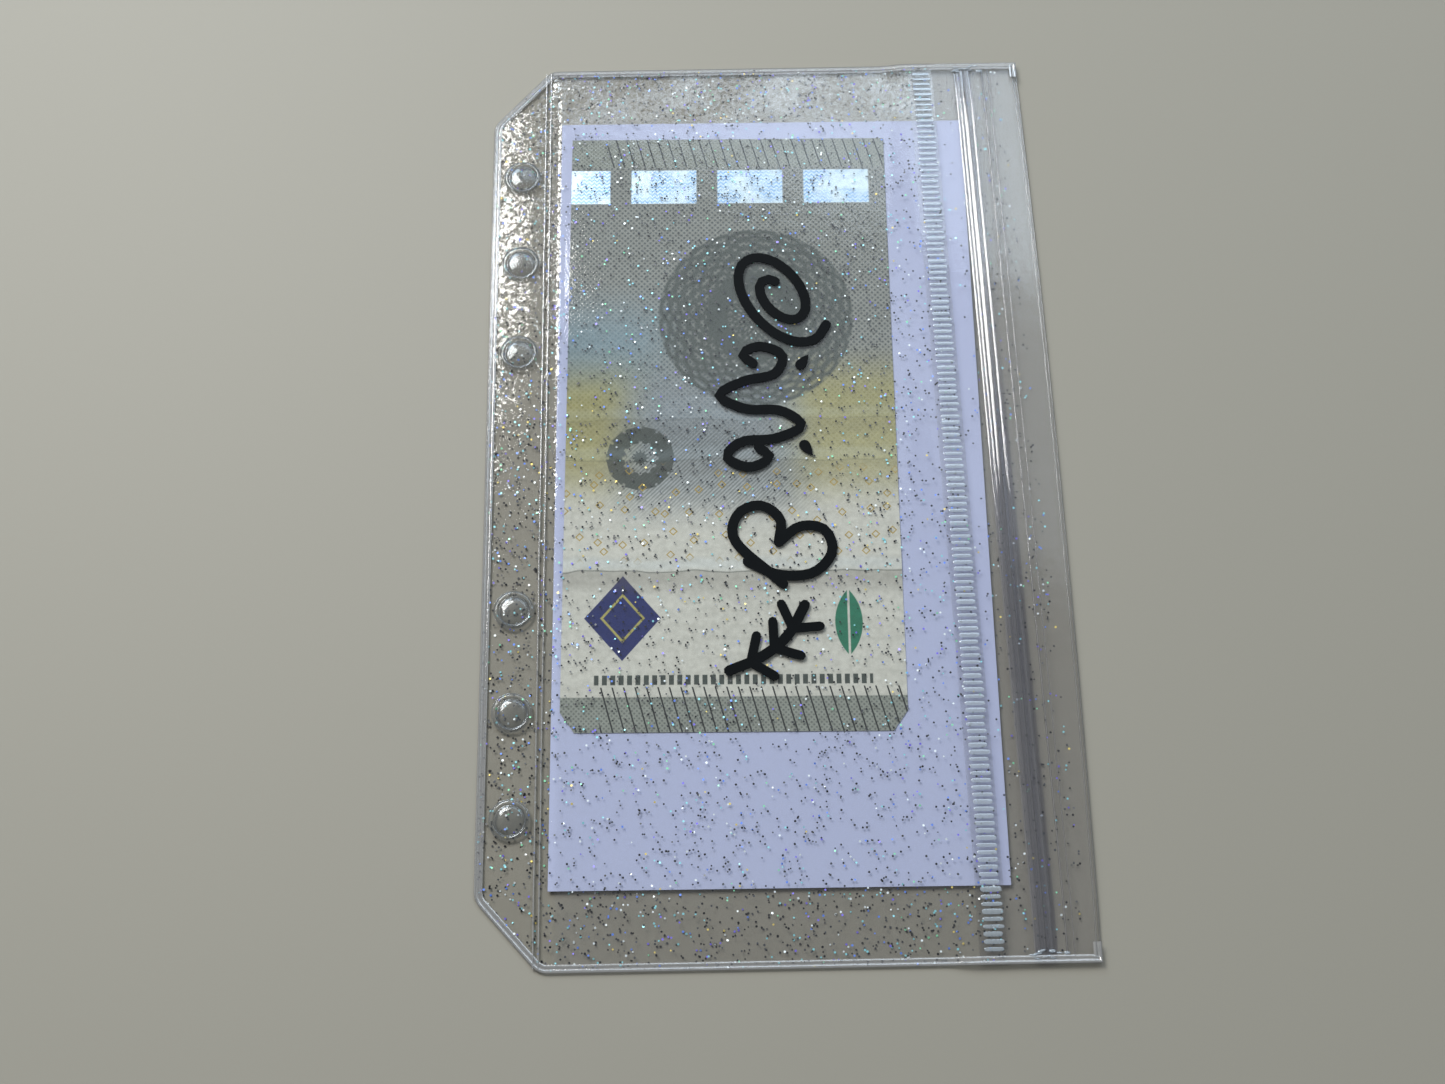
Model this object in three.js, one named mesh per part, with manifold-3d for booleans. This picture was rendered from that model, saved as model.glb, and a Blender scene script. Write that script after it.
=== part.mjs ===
// A clear zip pocket for a six-ring binder, lying flat, with a card, a paper note and cut vinyl
// ornaments on its front. Millimetres, +Z up, +X towards the zip, +Y along the pocket's long side.
// The origin is at the middle of the pocket's outline, on the surface that it lies on.
import * as THREE from 'three';
import { mergeVertices } from 'three/addons/utils/BufferGeometryUtils.js';
import Module from 'manifold-3d';

const wasm = await Module();
wasm.setup();

// Outline of the pocket
const pocketWidth = 107.6;
const pocketHeight = 177.6;
const cornerCutWidth = 11.3;
const cornerCutHeight = 12.5;

// Sheets and the hairline that parts one welded sheet from the next
const filmThickness = 0.25;
const tapeThickness = 0.25;
const sheetGap = 0.02;

// Welded rim round the pocket, and the weld that parts the binder margin from the pocket
const rimWidth = 1.1;
const rimRise = 0.15;
const binderMargin = 10.2;
const marginWeldWidth = 1.1;
const weldRidgeWidth = 0.3;
const weldRidgeRise = 0.12;

// Six punch-out discs, each still held inside its welded ring
const discInset = 5.9;
const ringPitch = 19;
const ringGroupGap = 51;
const ringPatternShift = 0.8;
const discRadius = 2.6;
const tearWidth = 0.2;
const tearDepth = 0.12;
const ringBeadWidth = 0.6;
const ringBeadRise = 0.25;

// Zip: two tapes that carry a rib and a groove, and end in two lips
const zipInset = 11.2;
const zipSlope = 0.0172;
const zipHeight = 1.0;
const crushedZipHeight = 0.16;
const zipClearance = 0.08;
const stemHalfWidth = 0.2;
const barbHalfWidth = 0.44;
const barbTipHalfWidth = 0.12;
const barbTipGap = 0.14;
const legWall = 0.28;
const hookThickness = 0.25;
const guideGap = 0.35;
const guideWidth = 0.45;
const guideHeadroom = 0.2;
const gripRidgeOffsets = [3.85, 5.1];
const gripRidgeWidth = 0.3;
const gripRidgeRise = 0.1;
const lipInsetAtTop = 2.1;
const lipInsetAtBottom = 0.3;
const frontLipSetback = 0.7;

// Ladder of short bars that welds the film to the zip tape
const ladderToZip = 8.9;
const ladderWidth = 3.6;
const ladderPitch = 1.25;
const ladderBar = 0.85;
const ladderRise = 0.12;
const tapeOverlap = 0.7;
const filmOverlap = 0.5;

// Card and note inside the pocket
const cardThickness = 0.3;
const cardWeldGap = 1.9;
const cardZipGap = 0.45;
const cardTopGap = 12.9;
const cardBottomGap = 13.5;
const cardTurn = -0.3;
const noteWidth = 62;
const noteLength = 120;
const noteThickness = 0.11;
const noteLeftGap = 1.9;
const noteTopGap = 3.8;
const noteTurn = -0.6;
const noteCornerCutWidth = 2.6;
const noteCornerCutHeight = 3.7;
const noteCreases = [
  { fromTop: 68.5, rise: 0.08 },
  { fromTop: 90.2, rise: 0.12 },
];
const creaseHalfWidth = 2.2;
const restingGap = 0.05;

// How far the front film stands clear of what lies under it
const cardHeadroom = 0.2;
const noteHeadroom = 0.2;
const plateauRun = 4;
const climbRun = 6;
const endRunPastCard = 1;

// Vinyl ornaments
const vinylThickness = 0.1;
const vinylStroke = 1.9;
const ornamentRun = 86;
const ornamentsFromNoteLeft = 27.1;
const ornamentsFromNoteTop = 24.4;

// Heights of the stacked sheets, from the bottom up
const left = -pocketWidth / 2;
const right = pocketWidth / 2;
const top = pocketHeight / 2;
const bottom = -top;
const backTapeUnder = filmThickness + sheetGap;
const backTapeTop = backTapeUnder + tapeThickness;
const cardUnder = backTapeTop + restingGap;
const cardTop = cardUnder + cardThickness;
const noteUnder = cardTop + restingGap;
const noteTop = noteUnder + noteThickness;
const highestCrease = Math.max(...noteCreases.map((crease) => crease.rise));
const filmSeat = filmThickness + sheetGap;
const plateauUnder = noteTop + highestCrease + noteHeadroom;
const plateauTop = plateauUnder + filmThickness;

// Lines across the pocket
const marginWeldLeft = left + binderMargin;
const marginWeldRight = marginWeldLeft + marginWeldWidth;
const legInner = barbHalfWidth + zipClearance;
const legOuter = legInner + legWall;
const guideInner = legOuter + guideGap;
const guideOuter = guideInner + guideWidth;

// The zip runs a little askew: its middle line moves left towards the pocket's top.
const zipMiddle = (y) => right - zipInset - zipSlope * y;
const ladderMiddle = (y) => zipMiddle(y) - ladderToZip;
const tapeLeft = (y) => ladderMiddle(y) - ladderWidth / 2 - tapeOverlap;
const filmRight = (y) => ladderMiddle(y) + ladderWidth / 2 + filmOverlap;

// The lips end in one shallow bow that just reaches the pocket's full width.
const lipTopX = right - lipInsetAtTop;
const lipBottomX = right - lipInsetAtBottom;
const lipBowX = right + Math.sqrt(lipInsetAtTop * lipInsetAtBottom);
const lipEdge = (y) => {
  const t = (y - bottom) / pocketHeight;
  return (1 - t) ** 2 * lipBottomX + 2 * t * (1 - t) * lipBowX + t ** 2 * lipTopX;
};

// The pocket's two ends are welded flat; share is 0 at the weld and 1 where the pocket is fully open.
const endRun = Math.min(cardTopGap, cardBottomGap) - rimWidth + endRunPastCard;
const share = (y) => {
  const s = Math.min(Math.max((top - rimWidth - Math.abs(y)) / endRun, 0), 1);
  return s * (2 - s);
};
const mix = (a, b, t) => a + (b - a) * t;
const zipGapAt = (y) => mix(crushedZipHeight, zipHeight, share(y));
const frontTapeUnder = (y) => backTapeTop + zipGapAt(y);
const frontTapeTop = (y) => frontTapeUnder(y) + tapeThickness;
const tapedFilmUnder = (y) => frontTapeTop(y) + sheetGap;

// Stations along Y that every lofted sheet shares, so that neighbours meet plane to plane
const rimStep = rimWidth / 4;
const endSteps = [0, rimStep, rimWidth - rimStep, rimWidth];
const rampShares = [0.12, 0.3, 0.55, 0.8, 1];
const endOffsets = [...endSteps, ...rampShares.map((s) => rimWidth + s * endRun)];
const lipPeakShare = Math.sqrt(lipInsetAtBottom)
  / (Math.sqrt(lipInsetAtBottom) + Math.sqrt(lipInsetAtTop));
const lipPeakY = bottom + lipPeakShare * pocketHeight;
const stations = [
  ...endOffsets.map((offset) => bottom + offset),
  lipPeakY,
  0,
  -lipPeakY,
  ...[...endOffsets].reverse().map((offset) => top - offset),
];
const rimBead = (y) => {
  const fromEnd = top - Math.abs(y);
  return fromEnd > rimStep / 2 && fromEnd < rimWidth - rimStep / 2 ? rimRise : 0;
};

// A closed solid through equal polygons [x, z], one at each station along Y.
function loft(ys, section) {
  const rings = ys.map((y) => section(y));
  const count = rings[0].length;
  const positions = [];
  const point = (ring, i) => [rings[ring][i % count][0], ys[ring], rings[ring][i % count][1]];
  const triangle = (a, b, c) => positions.push(...a, ...b, ...c);
  for (let ring = 0; ring < ys.length - 1; ring++) {
    for (let i = 0; i < count; i++) {
      triangle(point(ring, i), point(ring + 1, i + 1), point(ring, i + 1));
      triangle(point(ring, i), point(ring + 1, i), point(ring + 1, i + 1));
    }
  }
  const last = ys.length - 1;
  const flat = (ring) => rings[ring].map(([x, z]) => new THREE.Vector2(x, z));
  for (const [a, b, c] of THREE.ShapeUtils.triangulateShape(flat(0), [])) {
    triangle(point(0, a), point(0, b), point(0, c));
  }
  for (const [a, b, c] of THREE.ShapeUtils.triangulateShape(flat(last), [])) {
    triangle(point(last, a), point(last, c), point(last, b));
  }
  const geometry = new THREE.BufferGeometry();
  geometry.setAttribute('position', new THREE.Float32BufferAttribute(positions, 3));
  return geometry;
}

// Between a three.js geometry and a solid that can be joined and cut
function toSolid(geometry) {
  const bare = geometry.index ? geometry.toNonIndexed() : geometry.clone();
  for (const name of Object.keys(bare.attributes)) {
    if (name !== 'position') bare.deleteAttribute(name);
  }
  const merged = mergeVertices(bare, 1e-4);
  return new wasm.Manifold(new wasm.Mesh({
    numProp: 3,
    vertProperties: merged.attributes.position.array,
    triVerts: new Uint32Array(merged.index.array),
  }));
}

function toGeometry(solid) {
  const mesh = solid.getMesh();
  const geometry = new THREE.BufferGeometry();
  geometry.setAttribute('position', new THREE.BufferAttribute(mesh.vertProperties, 3));
  geometry.setIndex(new THREE.BufferAttribute(mesh.triVerts, 1));
  const flat = geometry.toNonIndexed();
  flat.computeVertexNormals();
  return flat;
}

const joinAll = (solids) => solids.reduce((sum, solid) => sum.add(solid));

// A plate of the shape's outline, from one height to another
function plate(shape, from, to, curveSegments = 8) {
  const options = { depth: to - from, bevelEnabled: false, curveSegments };
  return new THREE.ExtrudeGeometry(shape, options).translate(0, 0, from);
}

// The pocket's outline with its two cut corners, moved inwards; its right side is given.
function outlinePoints(inset, rightAt) {
  const slant = Math.hypot(cornerCutWidth, cornerCutHeight);
  const stretch = (inset * slant) / (cornerCutWidth * cornerCutHeight);
  const cutX = left + cornerCutWidth * (1 + stretch - inset / cornerCutHeight);
  const cutY = top - cornerCutHeight * (1 + stretch - inset / cornerCutWidth);
  return [
    [left + inset, -cutY],
    [cutX, bottom + inset],
    [rightAt(bottom + inset), bottom + inset],
    [rightAt(top - inset), top - inset],
    [cutX, top - inset],
    [left + inset, cutY],
  ];
}
const shapeOf = (points) => new THREE.Shape(points.map(([x, y]) => new THREE.Vector2(x, y)));

// Back film: one flat sheet
function backFilm() {
  return plate(shapeOf(outlinePoints(0, filmRight)), 0, filmThickness);
}

// Lines of the front film across the pocket: where each lies, its underside's height at the welded
// ends, and its underside's height where the pocket is open
const cardLeft = marginWeldRight + cardWeldGap;
const frontFilmLines = [
  { x: () => left, welded: () => filmSeat, open: () => filmSeat },
  { x: () => marginWeldRight, welded: () => filmSeat, open: () => filmSeat },
  {
    x: () => cardLeft - cardWeldGap / 4,
    welded: () => filmSeat,
    open: () => cardTop + cardHeadroom,
  },
  { x: () => cardLeft + plateauRun, welded: () => filmSeat, open: () => plateauUnder },
  { x: (y) => tapeLeft(y) - climbRun, welded: () => filmSeat, open: () => plateauUnder },
  { x: (y) => tapeLeft(y) - tapeOverlap / 2, welded: tapedFilmUnder, open: tapedFilmUnder },
  { x: filmRight, welded: tapedFilmUnder, open: tapedFilmUnder },
];

function frontFilmSheet() {
  return loft(stations, (y) => {
    const under = frontFilmLines.map((line) => [
      line.x(y),
      mix(line.welded(y), line.open(y), share(y)),
    ]);
    const over = under.map(([x, z]) => [x, z + filmThickness + rimBead(y)]).reverse();
    return [...under, ...over];
  });
}

// The raised rim down the binder side and round the two cut corners
function binderRim() {
  const reach = left + cornerCutWidth + rimWidth;
  const outer = outlinePoints(rimStep, () => reach);
  const inner = outlinePoints(rimWidth - rimStep, () => reach);
  const band = [outer[0], outer[1], outer[2], inner[2], inner[1], inner[0]];
  const upper = [inner[5], inner[4], inner[3], outer[3], outer[4], outer[5]];
  const rimTop = filmSeat + filmThickness + rimRise;
  return plate(shapeOf([...band, ...upper]), filmSeat + filmThickness / 2, rimTop);
}

// Two fine ridges beside the weld that closes the pocket towards the binder margin
function marginWeldRidge(x) {
  const from = filmSeat + filmThickness / 2;
  const to = filmSeat + filmThickness + weldRidgeRise;
  const end = top - rimWidth / 2;
  return loft([-end, end], () => [
    [x, from],
    [x + weldRidgeWidth, from],
    [x + weldRidgeWidth, to],
    [x, to],
  ]);
}

// A ring about the Z axis from a closed profile of [radius, height]
function ringOf(profile) {
  const closed = [...profile, profile[0]].map(([r, z]) => new THREE.Vector2(r, z));
  return new THREE.LatheGeometry(closed, 24).rotateX(Math.PI / 2);
}

const discX = left + discInset;
const discYs = [-1, 1].flatMap((side) =>
  [0, 1, 2].map((i) => ringPatternShift + side * (ringGroupGap / 2 + i * ringPitch)));

function ringBead() {
  const filmTop = filmSeat + filmThickness;
  const inner = discRadius + tearWidth;
  const outer = inner + ringBeadWidth;
  const shoulder = ringBeadWidth / 4;
  return ringOf([
    [inner, filmTop - filmThickness / 2],
    [outer, filmTop - filmThickness / 2],
    [outer, filmTop + ringBeadRise / 2],
    [outer - shoulder, filmTop + ringBeadRise],
    [inner + shoulder, filmTop + ringBeadRise],
    [inner, filmTop + ringBeadRise / 2],
  ]);
}

function tearGroove() {
  const filmTop = filmSeat + filmThickness;
  return ringOf([
    [discRadius, filmTop - tearDepth],
    [discRadius + tearWidth, filmTop - tearDepth],
    [discRadius + tearWidth, filmTop + ringBeadRise + rimRise],
    [discRadius, filmTop + ringBeadRise + rimRise],
  ]);
}

// The ladder's bars, spread evenly between the two welded ends
function ladderBars() {
  const span = pocketHeight - 2 * rimWidth - ladderPitch;
  const count = Math.floor(span / ladderPitch);
  return Array.from({ length: count }, (_, i) => {
    const middle = (i - (count - 1) / 2) * ladderPitch;
    return loft([middle - ladderBar / 2, middle + ladderBar / 2], (y) => {
      const filmTop = tapedFilmUnder(y) + filmThickness;
      const from = filmTop - filmThickness / 2;
      const to = filmTop + ladderRise;
      const barLeft = ladderMiddle(y) - ladderWidth / 2;
      const barRight = ladderMiddle(y) + ladderWidth / 2;
      return [[barLeft, from], [barRight, from], [barRight, to], [barLeft, to]];
    });
  });
}

// Front film: the sheet that rises over the card and the note, with all its welds
function frontFilm() {
  const outline = plate(shapeOf(outlinePoints(0, () => right)), -1, zipHeight * 4);
  const raised = [
    binderRim(),
    marginWeldRidge(marginWeldLeft),
    marginWeldRidge(marginWeldRight - weldRidgeWidth),
    ...discYs.map((y) => ringBead().translate(discX, y, 0)),
    ...ladderBars(),
  ];
  const grooves = discYs.map((y) => tearGroove().translate(discX, y, 0));
  const sheet = toSolid(frontFilmSheet()).intersect(toSolid(outline));
  const welded = joinAll([sheet, ...raised.map(toSolid)]);
  return toGeometry(welded.subtract(joinAll(grooves.map(toSolid))));
}

// Back tape: the web, two guide ribs and the barbed rib between them
function backTape() {
  const hookTop = zipClearance + hookThickness;
  const barbBase = hookTop + zipClearance;
  const barbTip = zipHeight - barbTipGap;
  const guideTop = zipHeight - guideHeadroom;
  const guideChamfer = guideWidth / 5;
  const guide = [
    [guideInner, 0],
    [guideInner + guideChamfer, guideTop],
    [guideOuter - guideChamfer, guideTop],
    [guideOuter, 0],
  ];
  const barb = [
    [stemHalfWidth, 0],
    [stemHalfWidth, barbBase],
    [barbHalfWidth, barbBase],
    [barbTipHalfWidth, barbTip],
  ];
  const rightHalf = [...[...guide].reverse(), ...[...barb]];
  const leftHalf = rightHalf.map(([x, z]) => [-x, z]).reverse();
  return loft(stations, (y) => {
    const middle = zipMiddle(y);
    const squeeze = zipGapAt(y) / zipHeight;
    const profile = [...rightHalf, ...leftHalf];
    return [
      [tapeLeft(y), backTapeUnder],
      [lipEdge(y), backTapeUnder],
      [lipEdge(y), backTapeTop],
      ...profile.map(([x, z]) => [middle + x, backTapeTop + z * squeeze]),
      [tapeLeft(y), backTapeTop],
    ];
  });
}

// Front tape: the web, the two hooked legs that hold the barbed rib, and the grip ridges
function frontTape() {
  const legLength = zipHeight - zipClearance;
  const hookInner = stemHalfWidth + zipClearance;
  const hookTop = legLength - hookThickness;
  const rightLeg = [
    [legInner, 0],
    [legInner, -hookTop],
    [hookInner, -hookTop],
    [hookInner, -legLength],
    [legOuter, -legLength],
    [legOuter, 0],
  ];
  const leftLeg = rightLeg.map(([x, z]) => [-x, z]).reverse();
  const ridges = [...gripRidgeOffsets].reverse().flatMap((offset) => [
    [offset + gripRidgeWidth / 2, 0],
    [offset + gripRidgeWidth / 4, gripRidgeRise],
    [offset - gripRidgeWidth / 4, gripRidgeRise],
    [offset - gripRidgeWidth / 2, 0],
  ]);
  return loft(stations, (y) => {
    const middle = zipMiddle(y);
    const squeeze = zipGapAt(y) / zipHeight;
    const under = frontTapeUnder(y);
    const over = frontTapeTop(y) + rimBead(y);
    const tapedOver = frontTapeTop(y);
    const lip = lipEdge(y) - frontLipSetback;
    return [
      [tapeLeft(y), under],
      ...[...leftLeg, ...rightLeg].map(([x, z]) => [middle + x, under + z * squeeze]),
      [lip, under],
      [lip, over],
      ...ridges.map(([x, z]) => [middle + x, over + z]),
      [filmRight(y) + 2 * sheetGap, over],
      [filmRight(y) + sheetGap, tapedOver],
      [tapeLeft(y), tapedOver],
    ];
  });
}

// Card: as wide as fits between the margin weld and the zip at the card's top end
const cardHeight = pocketHeight - cardTopGap - cardBottomGap;
const cardMiddleY = (cardBottomGap - cardTopGap) / 2;
const cardRight = zipMiddle(top - cardTopGap) - guideOuter - cardZipGap;
const cardMiddleX = (cardLeft + cardRight) / 2;
const cardCornerY = cardMiddleY + cardHeight / 2;

function card() {
  const halfWidth = (cardRight - cardLeft) / 2;
  const halfHeight = cardHeight / 2;
  const shape = shapeOf([
    [-halfWidth, -halfHeight],
    [halfWidth, -halfHeight],
    [halfWidth, halfHeight],
    [-halfWidth, halfHeight],
  ]);
  return plate(shape, 0, cardThickness).rotateZ(THREE.MathUtils.degToRad(cardTurn));
}

// Note: a thin sheet with two cut corners and two soft creases across it
function note() {
  const halfLength = noteLength / 2;
  const bends = noteCreases
    .map(({ fromTop, rise }) => ({ y: halfLength - fromTop, rise }))
    .sort((a, b) => a.y - b.y);
  const riseAt = (y) => Math.max(0, ...bends.map((bend) =>
    bend.rise * (1 - Math.abs(y - bend.y) / creaseHalfWidth)));
  const ys = [
    -halfLength,
    -halfLength + noteCornerCutHeight,
    ...bends.flatMap(({ y }) => [y - creaseHalfWidth, y, y + creaseHalfWidth]),
    halfLength,
  ];
  const halfWidthAt = (y) => {
    const cut = Math.max(0, 1 - (y + halfLength) / noteCornerCutHeight);
    return noteWidth / 2 - cut * noteCornerCutWidth;
  };
  const sheet = loft(ys, (y) => [
    [-halfWidthAt(y), riseAt(y)],
    [halfWidthAt(y), riseAt(y)],
    [halfWidthAt(y), riseAt(y) + noteThickness],
    [-halfWidthAt(y), riseAt(y) + noteThickness],
  ]);
  return sheet.rotateZ(THREE.MathUtils.degToRad(noteTurn));
}

// Ornaments are drawn in a frame of their own, in units of which 86 make up the whole run:
// u runs down the pocket and v towards the zip.
const drawnRun = 86;
const drawnUnit = ornamentRun / drawnRun;
const curveOf = (points) => new THREE.CatmullRomCurve3(
  points.map(([u, v]) => new THREE.Vector3(u * drawnUnit, v * drawnUnit, 0)),
  false,
  'centripetal',
);

// One short stretch of a stroke with round ends, as a plate
function strokeStretch(points, width) {
  const half = width / 2;
  const capSteps = 4;
  const headings = points.map((point, i) => {
    const a = points[Math.max(i - 1, 0)];
    const b = points[Math.min(i + 1, points.length - 1)];
    return Math.atan2(b.y - a.y, b.x - a.x);
  });
  const beside = (i, turn) => [
    points[i].x + half * Math.cos(headings[i] + turn),
    points[i].y + half * Math.sin(headings[i] + turn),
  ];
  const last = points.length - 1;
  const cap = (i, from) => Array.from({ length: capSteps - 1 }, (_, k) =>
    beside(i, from + ((k + 1) * Math.PI) / capSteps));
  const indices = points.map((_, i) => i);
  return plate(shapeOf([
    ...indices.map((i) => beside(i, -Math.PI / 2)),
    ...cap(last, -Math.PI / 2),
    ...indices.reverse().map((i) => beside(i, Math.PI / 2)),
    ...cap(0, Math.PI / 2),
  ]), 0, vinylThickness);
}

// A whole stroke: stretches short enough not to run into themselves, joined into one
function strokeSolid(curve, width = vinylStroke, spacing = 1.4) {
  const stepsPerStretch = 4;
  const steps = Math.max(1, Math.ceil(curve.getLength() / spacing / stepsPerStretch));
  const points = curve.getSpacedPoints(steps * stepsPerStretch);
  return joinAll(Array.from({ length: steps }, (_, i) => {
    const from = i * stepsPerStretch;
    return toSolid(strokeStretch(points.slice(from, from + stepsPerStretch + 1), width));
  }));
}

// An oval spiral that opens outwards
function scrollOrnament() {
  const centre = [10.2, 13.4];
  const turns = 1.7;
  const steps = 22;
  const startAngle = 2.4;
  const lean = 0.62;
  const alongFrom = 3.2;
  const alongTo = 12.4;
  const acrossFrom = 1.9;
  const acrossTo = 7.3;
  const spiral = Array.from({ length: steps + 1 }, (_, i) => {
    const t = i / steps;
    const angle = startAngle + t * turns * 2 * Math.PI;
    const along = mix(alongFrom, alongTo, t) * Math.cos(angle);
    const across = mix(acrossFrom, acrossTo, t) * Math.sin(angle);
    return [
      centre[0] + along * Math.cos(lean) - across * Math.sin(lean),
      centre[1] + along * Math.sin(lean) + across * Math.cos(lean),
    ];
  });
  return strokeSolid(curveOf(spiral));
}

// A running wave whose first and last crests curl in
function waveOrnament() {
  const wave = [
    [24.8, 8.4], [22.8, 6.4], [21.2, 9.6], [23.2, 14.0], [26.8, 12.6], [28.4, 6.4],
    [31.2, 1.8], [34.0, 6.6], [34.6, 13.6], [37.6, 17.2], [40.1, 12.2], [40.8, 5.6],
    [43.6, 3.0], [45.8, 7.2], [43.8, 11.0], [41.9, 9.0],
  ];
  return strokeSolid(curveOf(wave));
}

// A tear drop, with its point turned by an angle
function dropOrnament([u, v], turn) {
  const length = 2.6 * drawnUnit;
  const radius = 1.05 * drawnUnit;
  const shape = new THREE.Shape();
  shape.moveTo(length, 0);
  shape.quadraticCurveTo(radius, radius, 0, radius);
  shape.absarc(0, 0, radius, Math.PI / 2, (3 * Math.PI) / 2, false);
  shape.quadraticCurveTo(radius, -radius, length, 0);
  const drop = plate(shape, 0, vinylThickness, 5).rotateZ(turn);
  return toSolid(drop.translate(u * drawnUnit, v * drawnUnit, 0));
}

// A heart of two open strokes that meet in its notch and cross at its foot
function heartOrnament() {
  const leftLobe = [[60.6, 12.2], [56.2, 12.6], [53.4, 9.2], [54.6, 5.2], [59.2, 3.8], [68.6, 12.8]];
  const rightLobe = [
    [60.6, 12.2], [57.6, 16.2], [58.2, 20.6], [62.4, 22.0], [66.4, 18.6], [66.8, 12.0], [64.2, 6.4],
  ];
  return joinAll([leftLobe, rightLobe].map((points) => strokeSolid(curveOf(points))));
}

// A bent twig with leaves in pairs
function twigOrnament() {
  const stem = curveOf([[84.6, 2.6], [82.2, 8.4], [78.4, 13.2], [72.6, 16.6]]);
  const leafLength = 5;
  const pairs = [0.22, 0.48, 0.74];
  const leaves = pairs.flatMap((t) => {
    const root = stem.getPointAt(t).divideScalar(drawnUnit);
    const tangent = stem.getTangentAt(t);
    const heading = Math.atan2(tangent.y, tangent.x);
    return [0.95, -0.95].map((side) => {
      const turn = heading + side;
      const tip = [root.x + leafLength * Math.cos(turn), root.y + leafLength * Math.sin(turn)];
      return strokeSolid(curveOf([[root.x, root.y], tip]), vinylStroke * 0.9);
    });
  });
  return joinAll([strokeSolid(stem), ...leaves]);
}

// Materials
const clearPlastic = (color, opacity) => new THREE.MeshStandardMaterial({
  color, opacity, transparent: true, roughness: 0.12, metalness: 0,
});
const filmMaterial = clearPlastic(0xd8dad8, 0.3);
const tapeMaterial = clearPlastic(0xc9cad2, 0.35);
const cardMaterial = new THREE.MeshStandardMaterial({ color: 0xc6cfe6, roughness: 0.75 });
const noteMaterial = new THREE.MeshStandardMaterial({ color: 0x98a096, roughness: 0.85 });
const vinylMaterial = new THREE.MeshStandardMaterial({ color: 0x15181c, roughness: 0.45 });

const noteLeft = cardLeft + noteLeftGap;
const noteTopY = cardCornerY - noteTopGap;
const pocket = new THREE.Group();
const ornaments = new THREE.Group();
ornaments.position.set(
  noteLeft + ornamentsFromNoteLeft,
  noteTopY - ornamentsFromNoteTop,
  plateauTop + sheetGap,
);
ornaments.rotation.z = -Math.PI / 2;
pocket.add(ornaments);

function addPiece(parent, name, geometry, material, position = [0, 0, 0]) {
  const mesh = new THREE.Mesh(geometry, material);
  mesh.name = name;
  mesh.position.set(...position);
  parent.add(mesh);
}

const upperDrop = dropOrnament([25.2, 17.4], 2.5);
const lowerDrop = dropOrnament([41.6, 17.6], 0.6);
addPiece(pocket, 'back_film', backFilm(), filmMaterial);
addPiece(pocket, 'front_film', frontFilm(), filmMaterial);
addPiece(pocket, 'back_zip_tape', backTape(), tapeMaterial);
addPiece(pocket, 'front_zip_tape', frontTape(), tapeMaterial);
addPiece(pocket, 'card_insert', card(), cardMaterial, [cardMiddleX, cardMiddleY, cardUnder]);
addPiece(pocket, 'paper_note', note(), noteMaterial, [
  noteLeft + noteWidth / 2,
  noteTopY - noteLength / 2,
  noteUnder,
]);
addPiece(ornaments, 'vinyl_scroll', toGeometry(scrollOrnament()), vinylMaterial);
addPiece(ornaments, 'vinyl_wave', toGeometry(waveOrnament()), vinylMaterial);
addPiece(ornaments, 'vinyl_drop_upper', toGeometry(upperDrop), vinylMaterial);
addPiece(ornaments, 'vinyl_drop_lower', toGeometry(lowerDrop), vinylMaterial);
addPiece(ornaments, 'vinyl_heart', toGeometry(heartOrnament()), vinylMaterial);
addPiece(ornaments, 'vinyl_twig', toGeometry(twigOrnament()), vinylMaterial);

export default pocket;
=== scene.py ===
import logging
import math
from dataclasses import dataclass
from enum import Enum
from typing import Sequence, Union

import bpy
import numpy as np
from mathutils import Matrix, Vector


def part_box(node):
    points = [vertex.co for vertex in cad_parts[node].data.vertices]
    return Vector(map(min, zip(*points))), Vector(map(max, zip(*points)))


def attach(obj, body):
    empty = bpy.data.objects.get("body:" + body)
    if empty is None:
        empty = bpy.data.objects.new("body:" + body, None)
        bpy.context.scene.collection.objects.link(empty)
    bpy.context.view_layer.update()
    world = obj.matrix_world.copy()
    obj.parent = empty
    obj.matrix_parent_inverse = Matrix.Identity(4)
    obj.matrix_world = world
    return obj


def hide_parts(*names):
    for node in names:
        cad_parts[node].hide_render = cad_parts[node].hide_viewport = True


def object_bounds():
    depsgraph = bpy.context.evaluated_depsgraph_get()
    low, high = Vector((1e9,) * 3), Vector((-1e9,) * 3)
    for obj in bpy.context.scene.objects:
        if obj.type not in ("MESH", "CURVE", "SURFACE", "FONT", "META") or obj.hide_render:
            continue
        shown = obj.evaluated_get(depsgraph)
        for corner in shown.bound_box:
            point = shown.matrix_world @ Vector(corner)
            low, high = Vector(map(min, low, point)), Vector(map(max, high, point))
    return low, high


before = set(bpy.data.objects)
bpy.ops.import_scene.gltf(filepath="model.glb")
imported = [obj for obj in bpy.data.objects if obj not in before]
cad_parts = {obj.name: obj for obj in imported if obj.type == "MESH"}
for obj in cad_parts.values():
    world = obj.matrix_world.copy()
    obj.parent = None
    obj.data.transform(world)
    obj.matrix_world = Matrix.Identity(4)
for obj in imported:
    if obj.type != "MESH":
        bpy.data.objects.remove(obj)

CAD_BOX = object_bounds()
MM = 0.001
SMOOTH_BELOW = math.radians(40)
LOG = logging.getLogger("pocket")
SHEET_PLACE = "sheet_mm"
FLAKE_COLOUR = "flake_colour"
Colour = tuple[float, float, float]
Socket = bpy.types.NodeSocket
Number = Union[float, Socket]
Point = tuple[float, float, float]

# From one value to another, and the same with the softness of both ends
Span = tuple[float, float]
Stretch = tuple[float, float, float]


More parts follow.
